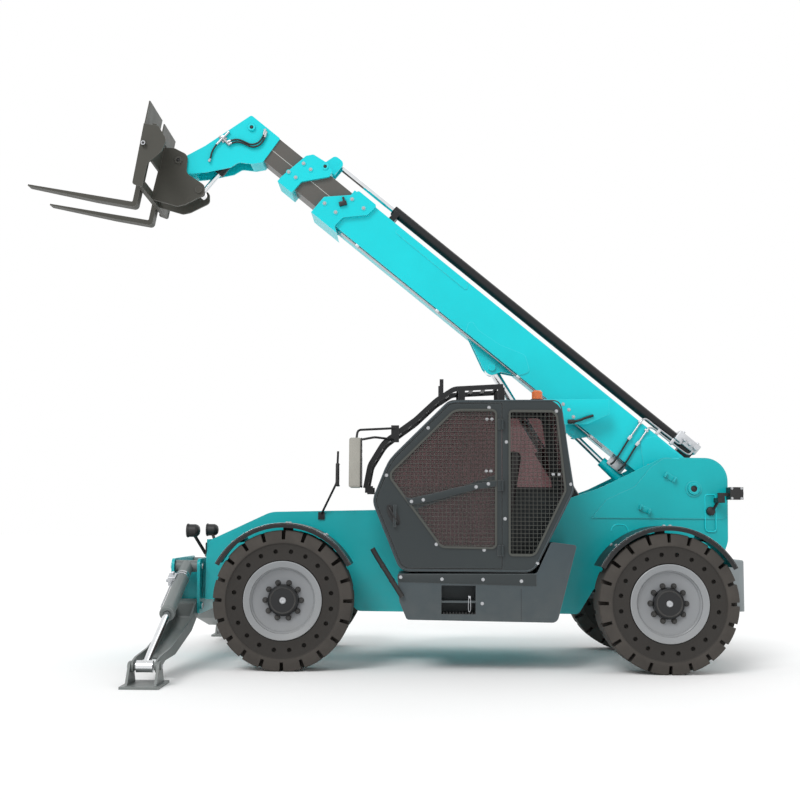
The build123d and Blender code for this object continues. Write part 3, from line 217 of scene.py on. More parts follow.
def closed(piece):
    """Merge doubles and turn all faces outwards."""
    edited(piece)
    bpy.ops.mesh.remove_doubles(threshold=0.00002)
    bpy.ops.mesh.dissolve_degenerate(threshold=0.00001)
    bpy.ops.mesh.normals_make_consistent(inside=False)
    bpy.ops.object.mode_set(mode="OBJECT")
    return piece


def slab(corners, thickness, edge=0.003, segments=2):
    """Flat plate from its corners and a thickness vector, with rounded edges."""
    piece = outline(corners, "NGON")
    edited(piece)
    bpy.ops.mesh.extrude_region_move(TRANSFORM_OT_translate={"value": tuple(thickness)})
    bpy.ops.object.mode_set(mode="OBJECT")
    closed(piece)
    return rounded(piece, edge, segments)


def block(centre, size, edge=0.004, turn=(0, 0, 0), segments=2):
    """Box with rounded edges."""
    alone()
    bpy.ops.mesh.primitive_cube_add(size=1, location=centre, rotation=turn, scale=size)
    return rounded(added(), edge, segments)


def turned(profile, centre, axis, steps=48, edge=None):
    """Closed solid spun from (radius, height) corners about an axis through a centre."""
    axis = Vector(axis).normalized()
    across = axis.orthogonal().normalized()
    piece = outline([Vector(centre) + across * radius + axis * height for radius, height in profile])
    edited(piece)
    bpy.ops.mesh.spin(steps=steps, angle=2 * pi, center=centre, axis=axis)
    bpy.ops.object.mode_set(mode="OBJECT")
    return rounded(closed(piece), edge) if edge else smooth(closed(piece))


def rod(start, end, radius, edge=0.002, sides=20):
    """Round bar between two points with rounded ends."""
    start, end = Vector(start), Vector(end)
    run = (end - start).length
    return turned(
        ((0, 0), (radius - edge, 0), (radius, edge), (radius, run - edge), (radius - edge, run), (0, run)),
        start, end - start, sides,
    )


def route(points, radius, resolution=8, sides=3):
    """Curve of one smooth spline through the control points, with a round section."""
    alone()
    bpy.ops.curve.primitive_nurbs_path_add()
    path = bpy.context.object
    path.data.splines.clear()
    spline = path.data.splines.new("NURBS")
    spline.points.add(len(points) - 1)
    for point, place in zip(spline.points, points):
        point.co = (*place, 1)
    spline.order_u = 3
    spline.use_endpoint_u = True
    path.data.dimensions = "3D"
    path.data.bevel_depth = radius
    path.data.bevel_resolution = sides
    path.data.resolution_u = resolution
    path.data.use_fill_caps = True
    return path


def pipe(points, radius, resolution=8, sides=3):
    """Bent rigid pipe as a mesh."""
    path = route(points, radius, resolution, sides)
    pick(path)
    bpy.ops.object.convert(target="MESH")
    return smooth(closed(bpy.context.object), 60)


def hexagon(radius, height):
    """Hexagon head with a chamfered top on a round washer, upright at the origin."""
    alone()
    bpy.ops.mesh.primitive_cylinder_add(vertices=6, radius=radius, depth=height, location=(0, 0, height * 0.6))
    head = modified(added(), "BEVEL", width=radius * 0.12, segments=1, limit_method="ANGLE", angle_limit=radians(70))
    alone()
    bpy.ops.mesh.primitive_cylinder_add(
        vertices=14, radius=radius * 1.35, depth=height * 0.24, location=(0, 0, height * 0.12)
    )
    return joined([head, added()])


def aimed(point, direction):
    """Matrix that takes an upright model at the origin to a point and a direction."""
    turn = Vector((0, 0, 1)).rotation_difference(Vector(direction))
    return Matrix.Translation(point) @ turn.to_matrix().to_4x4()


def spread(model, places):
    """Copies of an upright model at (point, direction) places, joined to one piece."""
    copies = []
    for point, direction in places:
        copy = bpy.data.objects.new(model.name, model.data.copy())
        bpy.context.collection.objects.link(copy)
        copy.data.transform(aimed(point, direction))
        copies.append(copy)
    bpy.data.objects.remove(model)
    return joined(copies)


def fitted(piece, name, body, finish):
    """Name a finished piece, give it its finish and slot and let it ride on its body."""
    piece.name = name
    piece.data.materials.clear()
    piece.data.materials.append(bpy.data.materials[finish])
    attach(piece, body)
    return piece


def bolted(name, body, places, radius, height):
    """Zinc-plated bolts at (point, direction) places, as one piece."""
    return fitted(spread(hexagon(radius, height), places), name, body, ZINC)


def add(tree, kind, properties=None, sockets=None, links=None):
    """Add a node with its properties, socket values and incoming links, and give its outputs."""
    made = tree.nodes.new("ShaderNode" + kind)
    for key, value in (properties or {}).items():
        setattr(made, key, value)
    for key, value in (sockets or {}).items():
        made.inputs[key].default_value = value
    for key, source in (links or {}).items():
        tree.links.new(source, made.inputs[key])
    return made.outputs


def started(name):
    """New material with its tree, its shader and the object's own coordinates."""
    material = bpy.data.materials.new(name)
    material.use_nodes = True
    tree = material.node_tree
    return tree, tree.nodes["Principled BSDF"], add(tree, "TexCoord")["Object"]


def scaled(code, factor):
    """A colour made darker or lighter."""
    return [min(1.0, c * factor) for c in code[:3]] + [1.0]


def clouded(tree, place, code, dark, light, scale, detail=2.0):
    """Colour that drifts between a darker and a lighter tone with a noise, and the noise itself."""
    cloud = add(tree, "TexNoise", None, {"Scale": scale, "Detail": detail}, {"Vector": place})["Fac"]
    return add(tree, "Mix", RGBA, {6: scaled(code, dark), 7: scaled(code, light)}, {0: cloud})[2], cloud


def linked(tree, shader, base, gloss=None, relief=None, strength=0, depth=0):
    """Link a material's colour, roughness and fine relief, by its strength and depth, to its shader."""
    tree.links.new(base, shader.inputs["Base Color"])
    if gloss:
        tree.links.new(gloss, shader.inputs["Roughness"])
    if relief:
        bump = add(tree, "Bump", None, {"Strength": strength, "Distance": depth}, {"Height": relief})["Normal"]
        tree.links.new(bump, shader.inputs["Normal"])


def over(tree, shader, *coats):
    """Lay (colour, mask) coats over the colour that a material already has."""
    base = shader.inputs["Base Color"].links[0].from_socket
    for code, mask in coats:
        base = add(tree, "Mix", RGBA, {7: code}, {0: mask, 6: base})[2]
    tree.links.new(base, shader.inputs["Base Color"])


def machine_paint(name, code, roughness, coat=0.0, edge_light=0.35, dust=0.25):
    """Two-pack machine paint over plate.

    The eye gets a slow change of tone over each panel, fine orange peel, a painted highlight along the edges and dust
    low down.
    """
    tree, shader, place = started(name)
    # Tone drifts over about 400 mm, from thicker and thinner coats
    base = clouded(tree, place, code, 0.88, 1.08, 2.4, 3.0)[0]
    # Painted highlight: a paler line about 4 mm wide along the edges, where they would catch light
    if edge_light:
        soft = add(tree, "Bevel", {"samples": 4}, {"Radius": 0.005})["Normal"]
        flat = add(tree, "NewGeometry")["Normal"]
        match = add(tree, "VectorMath", {"operation": "DOT_PRODUCT"}, None, {0: soft, 1: flat})["Value"]
        painted_edge_highlight = add(
            tree, "MapRange", None, {"From Min": 0.995, "From Max": 0.9, "To Min": 0.0, "To Max": edge_light},
            {"Value": match},
        )["Result"]
        base = add(tree, "Mix", RGBA, {7: scaled([c + 0.25 for c in code[:3]], 1.25)}, {0: painted_edge_highlight, 6: base})[2]
    # Road dust thins out up to 1.1 m above the ground
    height = add(tree, "SeparateXYZ", None, None, {"Vector": place})["Z"]
    low = add(
        tree, "MapRange", None, {"From Min": 0.1, "From Max": 1.1, "To Min": dust, "To Max": 0.0}, {"Value": height}
    )["Result"]
    patch = add(tree, "TexNoise", None, {"Scale": 9.0, "Detail": 6.0}, {"Vector": place})["Fac"]
    cover = add(tree, "Math", {"operation": "MULTIPLY"}, None, {0: low, 1: patch})["Value"]
    dusty = add(tree, "Mix", RGBA, {7: linear("8C877E")}, {0: cover, 6: base})[2]
    gloss = add(
        tree, "MapRange", None, {"To Min": roughness - 0.06, "To Max": roughness + 0.1}, {"Value": patch}
    )["Result"]
    # Orange peel, about 5 mm across, drawn a little coarser than real so that it shows
    peel = add(tree, "TexNoise", None, {"Scale": 200.0, "Detail": 1.0}, {"Vector": place})["Fac"]
    linked(tree, shader, dusty, gloss, peel, 0.12, 0.0004)
    shader.inputs["Specular IOR Level"].default_value = 0.3
    shader.inputs["Coat Weight"].default_value = coat
    shader.inputs["Coat Roughness"].default_value = 0.12
    return tree, shader, place


def section_paint(name, code, collar_code, half, top, bottom, front):
    """Satin paint on a sliding section, a pale line along its middle weld as a painted highlight, and a gloss collar
    or head.

    What stands proud of the section's own box, given by half width, top, bottom and front, is the collar or head.
    """
    tree, shader, place = machine_paint(name, code, 0.4, 0.1, 0.3, 0.0)
    pivot = Vector((BOOM_PIVOT[0], 0, BOOM_PIVOT[1]))
    up = Vector((sin(BOOM_LEAN), 0, cos(BOOM_LEAN)))
    along = Vector((-cos(BOOM_LEAN), 0, sin(BOOM_LEAN)))
    rise = add(tree, "VectorMath", {"operation": "DOT_PRODUCT"}, {1: up}, {0: place})["Value"]
    reach = add(tree, "VectorMath", {"operation": "DOT_PRODUCT"}, {1: along}, {0: place})["Value"]
    side = add(tree, "SeparateXYZ", None, None, {"Vector": place})["Y"]
    side = add(tree, "Math", {"operation": "ABSOLUTE"}, None, {0: side})["Value"]
    # Pale line within 2.2 mm of the middle weld: a painted highlight standing for the lit weld bead
    line = add(tree, "Math", {"operation": "COMPARE"}, {1: up.dot(pivot) + 0.028, 2: 0.0022}, {0: rise})["Value"]
    proud = add(tree, "Math", {"operation": "GREATER_THAN"}, {1: half}, {0: side})["Value"]
    for source, kind, edge in (
        (rise, "GREATER_THAN", up.dot(pivot) + top),
        (rise, "LESS_THAN", up.dot(pivot) + bottom),
        (reach, "GREATER_THAN", along.dot(pivot) + front),
    ):
        past = add(tree, "Math", {"operation": kind}, {1: edge}, {0: source})["Value"]
        proud = add(tree, "Math", {"operation": "MAXIMUM"}, None, {0: proud, 1: past})["Value"]
    over(tree, shader, (linear("C9C8C4"), line), (collar_code, proud))


def metal(name, code, roughness, scratch=0.08):
    """Bare or plated metal with fine scratches and cloudy gloss."""
    tree, shader, place = started(name)
    shader.inputs["Metallic"].default_value = 1.0
    base = clouded(tree, place, code, 0.85, 1.1, 14.0, 4.0)[0]
    fine = add(tree, "TexNoise", None, {"Scale": 90.0, "Detail": 3.0}, {"Vector": place})["Fac"]
    gloss = add(
        tree, "MapRange", None, {"To Min": max(0.02, roughness - scratch), "To Max": roughness + scratch},
        {"Value": fine},
    )["Result"]
    linked(tree, shader, base, gloss, fine, 0.08, 0.0003)


def moulded(name, code, roughness, grain=420.0, depth=0.15):
    """Moulded plastic or rubber: even colour, fine grain and slightly cloudy gloss."""
    tree, shader, place = started(name)
    base, cloud = clouded(tree, place, code, 0.82, 1.15, 6.0, 5.0)
    gloss = add(
        tree, "MapRange", None, {"To Min": roughness - 0.08, "To Max": min(1.0, roughness + 0.08)}, {"Value": cloud}
    )["Result"]
    fine = add(tree, "TexVoronoi", None, {"Scale": grain}, {"Vector": place})["Distance"]
    linked(tree, shader, base, gloss, fine, depth, 0.0005)
    return tree, shader, place


def from_axle(tree, place):
    """Distance of the shaded point from the nearer axle's line."""
    shift = add(tree, "VectorMath", {"operation": "SUBTRACT"}, {1: (MIDDLE_X, 0, AXLE_Z)}, {0: place})["Vector"]
    parts = add(tree, "SeparateXYZ", None, None, {"Vector": shift})
    along = add(tree, "Math", {"operation": "ABSOLUTE"}, None, {0: parts["X"]})["Value"]
    along = add(tree, "Math", {"operation": "SUBTRACT"}, {1: HALF_WHEELBASE}, {0: along})["Value"]
    flat = add(tree, "CombineXYZ", None, None, {"X": along, "Z": parts["Z"]})["Vector"]
    return add(tree, "VectorMath", {"operation": "LENGTH"}, None, {0: flat})["Value"]


def rim_paint(code, black):
    """Silver rim enamel, darker towards the hub, and black paint on the hub itself."""
    tree, shader, place = machine_paint("Silver rim enamel", code, 0.36, 0.2, 0.3, 0.35)
    reach = from_axle(tree, place)
    hub = add(tree, "Math", {"operation": "LESS_THAN"}, {1: 0.136}, {0: reach})["Value"]
    # Darker grey mixed in towards the hub, fading out between 0.13 m and 0.29 m from the axle
    darker_to_hub = add(
        tree, "MapRange", None, {"From Min": 0.13, "From Max": 0.29, "To Min": 0.35, "To Max": 0.0}, {"Value": reach}
    )["Result"]
    over(tree, shader, (linear("6E7076"), darker_to_hub), (black, hub))


def tyre_rubber(code):
    """Solid tyre compound: matt and a little brown, its outer lugs lighter and greyer with dust and a painted sheen.
    """
    tree, shader, place = moulded("Solid tyre rubber", code, 0.86, 260.0, 0.25)
    # Lighter grey-brown over the lugs beyond 0.484 m from the axle, patchy with a noise: dust, and a painted sheen
    # where the tread catches light
    tread_dust_and_sheen = add(
        tree, "MapRange", None, {"From Min": 0.484, "From Max": 0.5, "To Min": 0.0, "To Max": 0.55},
        {"Value": from_axle(tree, place)},
    )["Result"]
    dust = add(tree, "TexNoise", None, {"Scale": 5.0, "Detail": 8.0}, {"Vector": place})["Fac"]
    cover = add(tree, "Math", {"operation": "MULTIPLY"}, None, {0: tread_dust_and_sheen, 1: dust})["Value"]
    over(tree, shader, (linear("5E5852"), cover))


def safety_glass(name, code, roughness=0.03):
    """Toughened glass with a dark reddish colour, streaked lighter and darker up and down, that is a painted
    reflection of reddish surroundings; the streaks also vary its gloss.
    """
    tree, shader, place = started(name)
    shader.inputs["Transmission Weight"].default_value = 0.75
    shader.inputs["IOR"].default_value = 1.45
    drawn = add(tree, "Mapping", None, {"Scale": (3, 3, 0.6)}, {"Vector": place})["Vector"]
    # Reddish colour in upright streaks: a painted reflection
    base, reflection_streak = clouded(tree, drawn, code, 0.6, 1.3, 3.0, 5.0)
    gloss = add(tree, "MapRange", None, {"To Min": roughness, "To Max": roughness + 0.07}, {"Value": reflection_streak})["Result"]
    linked(tree, shader, base, gloss)


def lens(name, code, roughness):
    """Moulded polycarbonate lens with vertical flutes about 8 mm wide."""
    tree, shader, place = started(name)
    base = clouded(tree, place, code, 0.85, 1.1, 20.0)[0]
    shader.inputs["Roughness"].default_value = roughness
    shader.inputs["Transmission Weight"].default_value = 0.3
    shader.inputs["Coat Weight"].default_value = 0.6
    flute = add(tree, "TexWave", {"bands_direction": "X"}, {"Scale": 40.0}, {"Vector": place})["Fac"]
    linked(tree, shader, base, None, flute, 0.3, 0.001)


class TELEHANDLER_OT_finishes(bpy.types.Operator):
    """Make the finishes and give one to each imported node"""

    bl_idname = "telehandler.finishes"
    bl_label = "Finishes"

    def execute(self, context):
        shade = context.scene.telehandler_colours
        machine_paint("Gloss boom paint", shade.boom, 0.3, 0.15)
        machine_paint("Gloss chassis paint", shade.chassis, 0.33, 0.12)
        machine_paint("Satin cab paint", shade.shell, 0.42, 0.15, 0.3, 0.1)
        machine_paint("Satin skirt paint", shade.skirt, 0.45, 0.1, 0.25, 0.3)
        machine_paint(BLACK, shade.black, 0.42, 0.1, 0.18, 0.3)
        section_paint("Middle section paint", shade.section, shade.boom, 0.1475, 0.1935, -0.1375, 4.742)
        section_paint("Inner section paint", shade.section, shade.boom, 0.1235, 0.1615, -0.1055, 5.202)
        machine_paint("Mesh paint", linear("4A4C48"), 0.5, 0.0, 0.0, 0.1)
        machine_paint("Worn carriage paint", shade.carriage, 0.5, 0.0, 0.3, 0.0)
        machine_paint("Grey stabilizer paint", shade.leg, 0.45, 0.1, 0.35, 0.3)
        machine_paint("Counterweight paint", shade.weight, 0.5, 0.0, 0.2, 0.4)
        rim_paint(shade.rim, shade.black)
        tyre_rubber(shade.rubber)
        # Hard chrome on ground rods: mirror bright with faint cloudy gloss
        metal("Hard chrome", linear("E2E4E6"), 0.12, 0.04)
        # Zinc-plated steel of pipes, fittings and bolts: pale, cloudy, half bright
        metal(ZINC, linear("B9BBBE"), 0.3, 0.1)
        # Cast aluminium of the valve blocks: pale and matt
        metal("Cast aluminium", linear("CACCCF"), 0.5, 0.1)
        metal("Cast iron", linear("6A6C6E"), 0.6, 0.12)
        metal("Mirror silver", linear("F2F2F2"), 0.03, 0.01)
        # Synthetic rubber cover of hydraulic hose, with its fine wrapped texture
        moulded("Hose rubber", linear("1B1B1B"), 0.55, 500.0, 0.3)
        moulded(PLASTIC, linear("1A1A1B"), 0.5)
        moulded("Grey plastic", linear("9A9890"), 0.5)
        moulded("Vinyl seat cover", linear("2A2527"), 0.6, 330.0, 0.4)
        # Dark red colour that stands for reddish surroundings seen in the glass: a painted reflection
        safety_glass("Tinted safety glass", linear("7A5A5C"))
        lens("Amber lens", shade.beacon, 0.18)
        lens("Clear lens", linear("E9EDF0"), 0.1)
        sides, corners = ("left", "right"), [place for place, x, hand in WHEELS]
        groups = {
            "Gloss boom paint": ["boom_main", "level_barrel", "engine_hood"],
            "Gloss chassis paint": ["chassis_frame", "stabilizer_frame", "engine_pod"],
            "Satin cab paint": ["cab_frame", "cab_door"],
            "Satin skirt paint": ["step_box"],
            BLACK: ["front_axle", "rear_axle", "roof_guard", "cab_rails", "extension_barrel", "lift_barrel",
                    "tilt_barrel"] + ["knuckle_" + place for place in corners],
            "Middle section paint": ["boom_mid"],
            "Inner section paint": ["boom_inner"],
            "Mesh paint": ["quarter_grille", "door_grille"],
            "Worn carriage paint": ["fork_carriage", "forks"],
            "Grey stabilizer paint": [
                "stabilizer_%s_%s" % (part, side) for part in ("leg", "foot", "barrel") for side in sides
            ],
            "Counterweight paint": ["counterweight"],
            "Silver rim enamel": ["rim_" + place for place in corners],
            "Solid tyre rubber": ["tyre_" + place for place in corners],
            "Hard chrome": ["extension_rod", "lift_rod", "level_rod", "tilt_rod"]
                           + ["stabilizer_rod_" + side for side in sides],
            "Tinted safety glass": ["cab_glass", "door_glass"],
            PLASTIC: ["cab_console", "lamps"],
            "Vinyl seat cover": ["cab_seat"],
            "Amber lens": ["beacon"],
            "Cast iron": ["drive_line", "engine_block"],
        }
        for finish, nodes in groups.items():
            for node in nodes:
                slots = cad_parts[node].material_slots
                if not slots:
                    raise RuntimeError("no material slot on " + node)
                for slot in slots:
                    slot.material = bpy.data.materials[finish]
        return {"FINISHED"}


class TELEHANDLER_OT_stage(bpy.types.Operator):
    """Make the floor, the light and the camera at the photograph's angle"""

    bl_idname = "telehandler.stage"
    bl_label = "Stage"

    def execute(self, context):
        scene = context.scene
        alone()
        bpy.ops.mesh.primitive_plane_add(size=160, location=(0, 0, 0))
        floor = added()
        floor.name = "studio_floor"
        # Matt studio paper: white with a slow, faint change of tone over about a metre
        tree, shader, place = started("Matt studio paper")
        linked(tree, shader, clouded(tree, place, scene.telehandler_colours.floor, 0.985, 1, 0.8)[0])
        shader.inputs["Roughness"].default_value = 0.95
        shader.inputs["Specular IOR Level"].default_value = 0.0
        floor.data.materials.append(bpy.data.materials["Matt studio paper"])
        # Even studio light from all round: seen directly it is white, on the object it is plain
        world = bpy.data.worlds.new("Studio light")
        scene.world = world
        world.use_nodes = True
        tree = world.node_tree
        back = tree.nodes["Background"]
        back.inputs["Color"].default_value = linear("FFFFFF")
        path = add(tree, "LightPath")
        seen = path["Is Camera Ray"]
        for ray in ("Is Transmission Ray", "Is Glossy Ray"):
            seen = add(tree, "Math", {"operation": "MAXIMUM"}, None, {0: seen, 1: path[ray]})["Value"]
        strength = add(tree, "MapRange", None, {"To Min": 0.72, "To Max": 1.0}, {"Value": seen})["Result"]
        tree.links.new(strength, back.inputs["Strength"])
        for name, strength, turn, spread_angle in (
            ("Key light", 1.35, (radians(48), 0, radians(-28)), 25),
            ("Fill light", 0.5, (radians(60), 0, radians(150)), 60),
        ):
            alone()
            bpy.ops.object.light_add(type="SUN", rotation=turn)
            lamp = context.object
            lamp.name = name
            lamp.data.energy = strength
            lamp.data.angle = radians(spread_angle)
        alone()
        bpy.ops.object.camera_add()
        camera = context.object
        camera.name = "Photograph camera"
        turn = (
            Matrix.Rotation(0.0098, 3, "Z") @ Matrix.Rotation(0.1001, 3, "X") @ Matrix.Rotation(-0.0082, 3, "Y")
        )
        right, forward, up = turn.col[0], turn.col[1], turn.col[2]
        view = Matrix((right, up, -forward)).transposed().to_4x4()
        view.translation = (0.3205, -11.7166, 1.2753)
        camera.matrix_world = view
        camera.data.sensor_width = 36.0
        # Focal length of 1217.6764 pixels, fitted on a picture 800 pixels wide
        camera.data.lens = 1217.6764 * camera.data.sensor_width / 800
        camera.data.clip_end = 300
        scene.camera = camera
        scene.view_settings.view_transform = "Standard"
        return {"FINISHED"}


def hose(points, name, body):
    """Free hose on one smooth spline."""
    diameter = 2 * bpy.context.scene.telehandler_sizes.hose
    path = route(points, 0)
    line = bpy.data.meshes.new_from_object(path)
    bpy.data.meshes.remove(line)
    path.data.bevel_depth = diameter / 2
    path.data.resolution_u = 12
    fitted(path, name, body, "Hose rubber")


class TELEHANDLER_OT_hoses(bpy.types.Operator):
    """Lay the free hydraulic hoses of the boom head and the boom's foot"""

    bl_idname = "telehandler.hoses"
    bl_label = "Hoses"

    def execute(self, context):
        for number, shift in ((1, 0.0), (2, 0.024)):
            points = [
                on_boom(s - shift, t - shift / 2, y)
                for s, t, y in (
                    (5.312, 0.085, -0.158), (5.3, 0.045, -0.16), (5.3, -0.01, -0.16), (5.34, -0.068, -0.16),
                    (5.4, -0.084, -0.16), (5.45, -0.096, -0.16), (5.5, -0.125, -0.158), (5.523, -0.16, -0.158),
                )
            ]
            hose(points, "head_hose_%d" % number, "boom_inner")
        points = [
            on_boom(s, t, y)
            for s, t, y in (
                (5.606, -0.275, -0.158), (5.604, -0.31, -0.158), (5.593, -0.365, -0.158), (5.574, -0.4, -0.158),
                (5.56, -0.43, -0.158),
            )
        ]
        hose(points, "nose_hose", "boom_inner")
        for number, s in enumerate((0.719, 0.626), 1):
            points = [
                on_boom(s + ds, t, -0.192 + dy)
                for ds, t, dy in (
                    (0.002, 0.05, 0), (-0.004, -0.02, 0), (-0.014, -0.09, 0), (-0.022, -0.15, 0), (-0.027, -0.245, 0),
                    (-0.028, -0.25, 0.1), (-0.028, -0.25, 0.135),
                )
            ]
            hose(points, "boom_foot_hose_%d" % number, "boom_main")
        return {"FINISHED"}


class TELEHANDLER_OT_tyres(bpy.types.Operator):
    """Model the solid tyre once, with its lugs and side holes, and put one on each wheel"""

    bl_idname = "telehandler.tyres"
    bl_label = "Tyres"

    def execute(self, context):
        hole = context.scene.telehandler_sizes.aperture
        half = (
            (0.3005, 0.14), (0.334, 0.172), (0.341, 0.184), (0.346, 0.19), (0.352, 0.1885), (0.476, 0.1885),
            (0.484, 0.1915), (0.489, 0.1985), (0.494, 0.2), (0.54, 0.194), (0.592, 0.179), (0.6, 0.169),
        )
        profile = half + tuple((r, -h) for r, h in reversed(half))
        tyre = turned(profile, (0, 0, 0), (0, 1, 0), 120)
        cutters = []
        for side, start in ((1, 0), (-1, 9)):
            for index in range(20):
                turn = radians(start + 18 * index)
                alone()
                bpy.ops.mesh.primitive_cube_add(
                    size=1, location=(0.58 * cos(turn), side * 0.142, 0.58 * sin(turn)), rotation=(0, -turn, 0),
                    scale=(0.12, 0.126, 0.038),
                )
                cutter = added()
                # The groove widens outwards, as a moulded one does so that it leaves its mould
                for vertex in cutter.data.vertices:
                    reach = Vector((vertex.co.x, 0, vertex.co.z)).length
                    if reach < 0.56:
                        middle = Vector((cos(turn), 0, sin(turn))) * reach
                        vertex.co.x += (middle.x - vertex.co.x) * 0.25
                        vertex.co.z += (middle.z - vertex.co.z) * 0.25
                cutters.append(cutter)
                spot = turn + radians(9)
                alone()
                bpy.ops.mesh.primitive_cone_add(
                    vertices=14, radius1=hole * 0.9, radius2=hole, depth=0.05,
                    location=(0.421 * cos(spot), side * 0.18, 0.421 * sin(spot)),
                    rotation=(-side * pi / 2, 0, 0),
                )
                cutters.append(added())
        cutter = joined(cutters)
        modified(tyre, "BOOLEAN", operation="DIFFERENCE", solver="EXACT", object=cutter)
        bpy.data.objects.remove(cutter)
        rounded(tyre, 0.003, 1, 38)
        for place, x, hand in WHEELS:
            copy = bpy.data.objects.new("solid_tyre_" + place, tyre.data.copy())
            context.collection.objects.link(copy)
            copy.data.transform(
                Matrix.Translation((x, hand * TYRE_MIDDLE_Y, AXLE_Z)) @ Matrix.Rotation(pi if hand < 0 else 0, 4, "Z")
            )
            fitted(copy, "solid_tyre_" + place, "wheel_" + place, "Solid tyre rubber")
            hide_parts("tyre_" + place)
        bpy.data.objects.remove(tyre)
        return {"FINISHED"}


# Name, finish, steps round and (radius, height) corners of each ring on a wheel
WHEEL_RINGS = (
    ("hub_plug_", ZINC, 32, (
        (0, 0.176), (0.029, 0.176), (0.029, 0.182), (0.024, 0.187), (0.01, 0.188), (0.008, 0.184), (0, 0.184),
    )),
    ("hub_step_", BLACK, 48, (
        (0.098, 0.176), (0.104, 0.1815), (0.11, 0.1815), (0.117, 0.176), (0.117, 0.17), (0.098, 0.17),
    )),
    ("rim_step_", "Silver rim enamel", 96, (
        (0.262, 0.135), (0.268, 0.146), (0.272, 0.152), (0.277, 0.154), (0.2815, 0.158), (0.2815, 0.166),
        (0.286, 0.168), (0.286, 0.15), (0.276, 0.13),
    )),
)


class TELEHANDLER_OT_wheel_fittings(bpy.types.Operator):
    """Put the nuts, studs, rim steps and hub plug on each wheel"""

    bl_idname = "telehandler.wheel_fittings"
    bl_label = "Wheel fittings"

    def execute(self, context):
        sizes = context.scene.telehandler_sizes
        for place, x, hand in WHEELS:
            out = Vector((0, hand, 0))

            def on_wheel(radius, turn, height):
                return Vector((
                    x + radius * cos(turn), hand * (TYRE_MIDDLE_Y + height), AXLE_Z + radius * sin(turn)
                ))

            turns = [2 * pi * k / sizes.nut_count for k in range(sizes.nut_count)]
            nuts = spread(hexagon(sizes.nut, 0.026), [(on_wheel(0.155, turn, 0.115), out) for turn in turns])
            studs = [rod(on_wheel(0.155, t, 0.12), on_wheel(0.155, t, 0.152), 0.009, 0.002, 12) for t in turns]
            fitted(joined([nuts] + studs), "wheel_nuts_" + place, "wheel_" + place, BLACK)
            centre = Vector((x, hand * TYRE_MIDDLE_Y, AXLE_Z))
            for name, finish, steps, profile in WHEEL_RINGS:
                fitted(turned(profile, centre, out, steps), name + place, "wheel_" + place, finish)
        return {"FINISHED"}


class TELEHANDLER_OT_mudguards(bpy.types.Operator):
    """Turn down the outer lip of each mudguard and bolt it"""

    bl_idname = "telehandler.mudguards"
    bl_label = "Mudguards"

    def execute(self, context):
        for place, x, hand in WHEELS:
            centre = Vector((x, 0, AXLE_Z))
            for name, finish, inside, outside, inner, outer in (
                ("guard_lip_", BLACK, 0.622, 0.656, 1.193, 1.1995), ("guard_edge_", ZINC, 0.654, 0.664, 1.188, 1.1998),
            ):
                piece = outline([
                    (x + radius * sin(MUDGUARD_REACH), hand * y, AXLE_Z + radius * cos(MUDGUARD_REACH))
                    for radius, y in ((inside, inner), (outside, inner), (outside, outer), (inside, outer))
                ])
                edited(piece)
                bpy.ops.mesh.spin(steps=64, angle=2 * MUDGUARD_REACH, center=centre, axis=(0, 1, 0))
                bpy.ops.mesh.select_all(action="SELECT")
                bpy.ops.mesh.fill_holes(sides=8)
                bpy.ops.object.mode_set(mode="OBJECT")
                fitted(rounded(closed(piece), 0.0018), name + place, "knuckle_" + place, finish)
            bolts = []
            for degrees_over in (-42, 2, 32):
                turn = radians(degrees_over)
                out = Vector((sin(turn), 0, cos(turn)))
                bolts += [(centre + out * 0.6625 + Vector((0, hand * y, 0)), out) for y in (0.86, 1.12)]
            bolted("guard_bolts_" + place, "knuckle_" + place, bolts, 0.013, 0.01)
            # Angle brackets under the guard, which the photograph shows as dark bars
            stays = []
            for degrees_over in (-36, 30):
                turn = radians(degrees_over)
                out = Vector((sin(turn), 0, cos(turn)))
                along = Vector((cos(turn), 0, -sin(turn)))
                base = centre + out * 0.655 + Vector((0, hand * 0.79, 0))
                corners = [
                    base + along * a - out * o for a, o in ((-0.02, 0), (0.02, 0), (0.02, 0.035), (-0.02, 0.035))
                ]
                stays.append(slab(corners, (0, hand * 0.4, 0), 0.003))
            fitted(joined(stays), "guard_stays_" + place, "knuckle_" + place, BLACK)
        return {"FINISHED"}


def pin_end(point, direction, radius, name, body, finish):
    """Boss ring with a black core sunk inside it at the end of a pin."""
    up = (0, 0, 1)
    ring = turned(((0.52, 0), (1, 0), (1, 0.2), (0.93, 0.3), (0.62, 0.3), (0.52, 0.22)), (0, 0, 0), up, 40)
    core = turned(((0, 0), (0.56, 0), (0.56, 0.06), (0.3, 0.1), (0.12, 0.16), (0, 0.16)), (0, 0, 0), up, 32)
    for piece, part, skin in ((ring, "_ring", finish), (core, "_core", PLASTIC)):
        piece.data.transform(aimed(point, direction) @ Matrix.Scale(radius, 4))
        fitted(piece, name + part, body, skin)


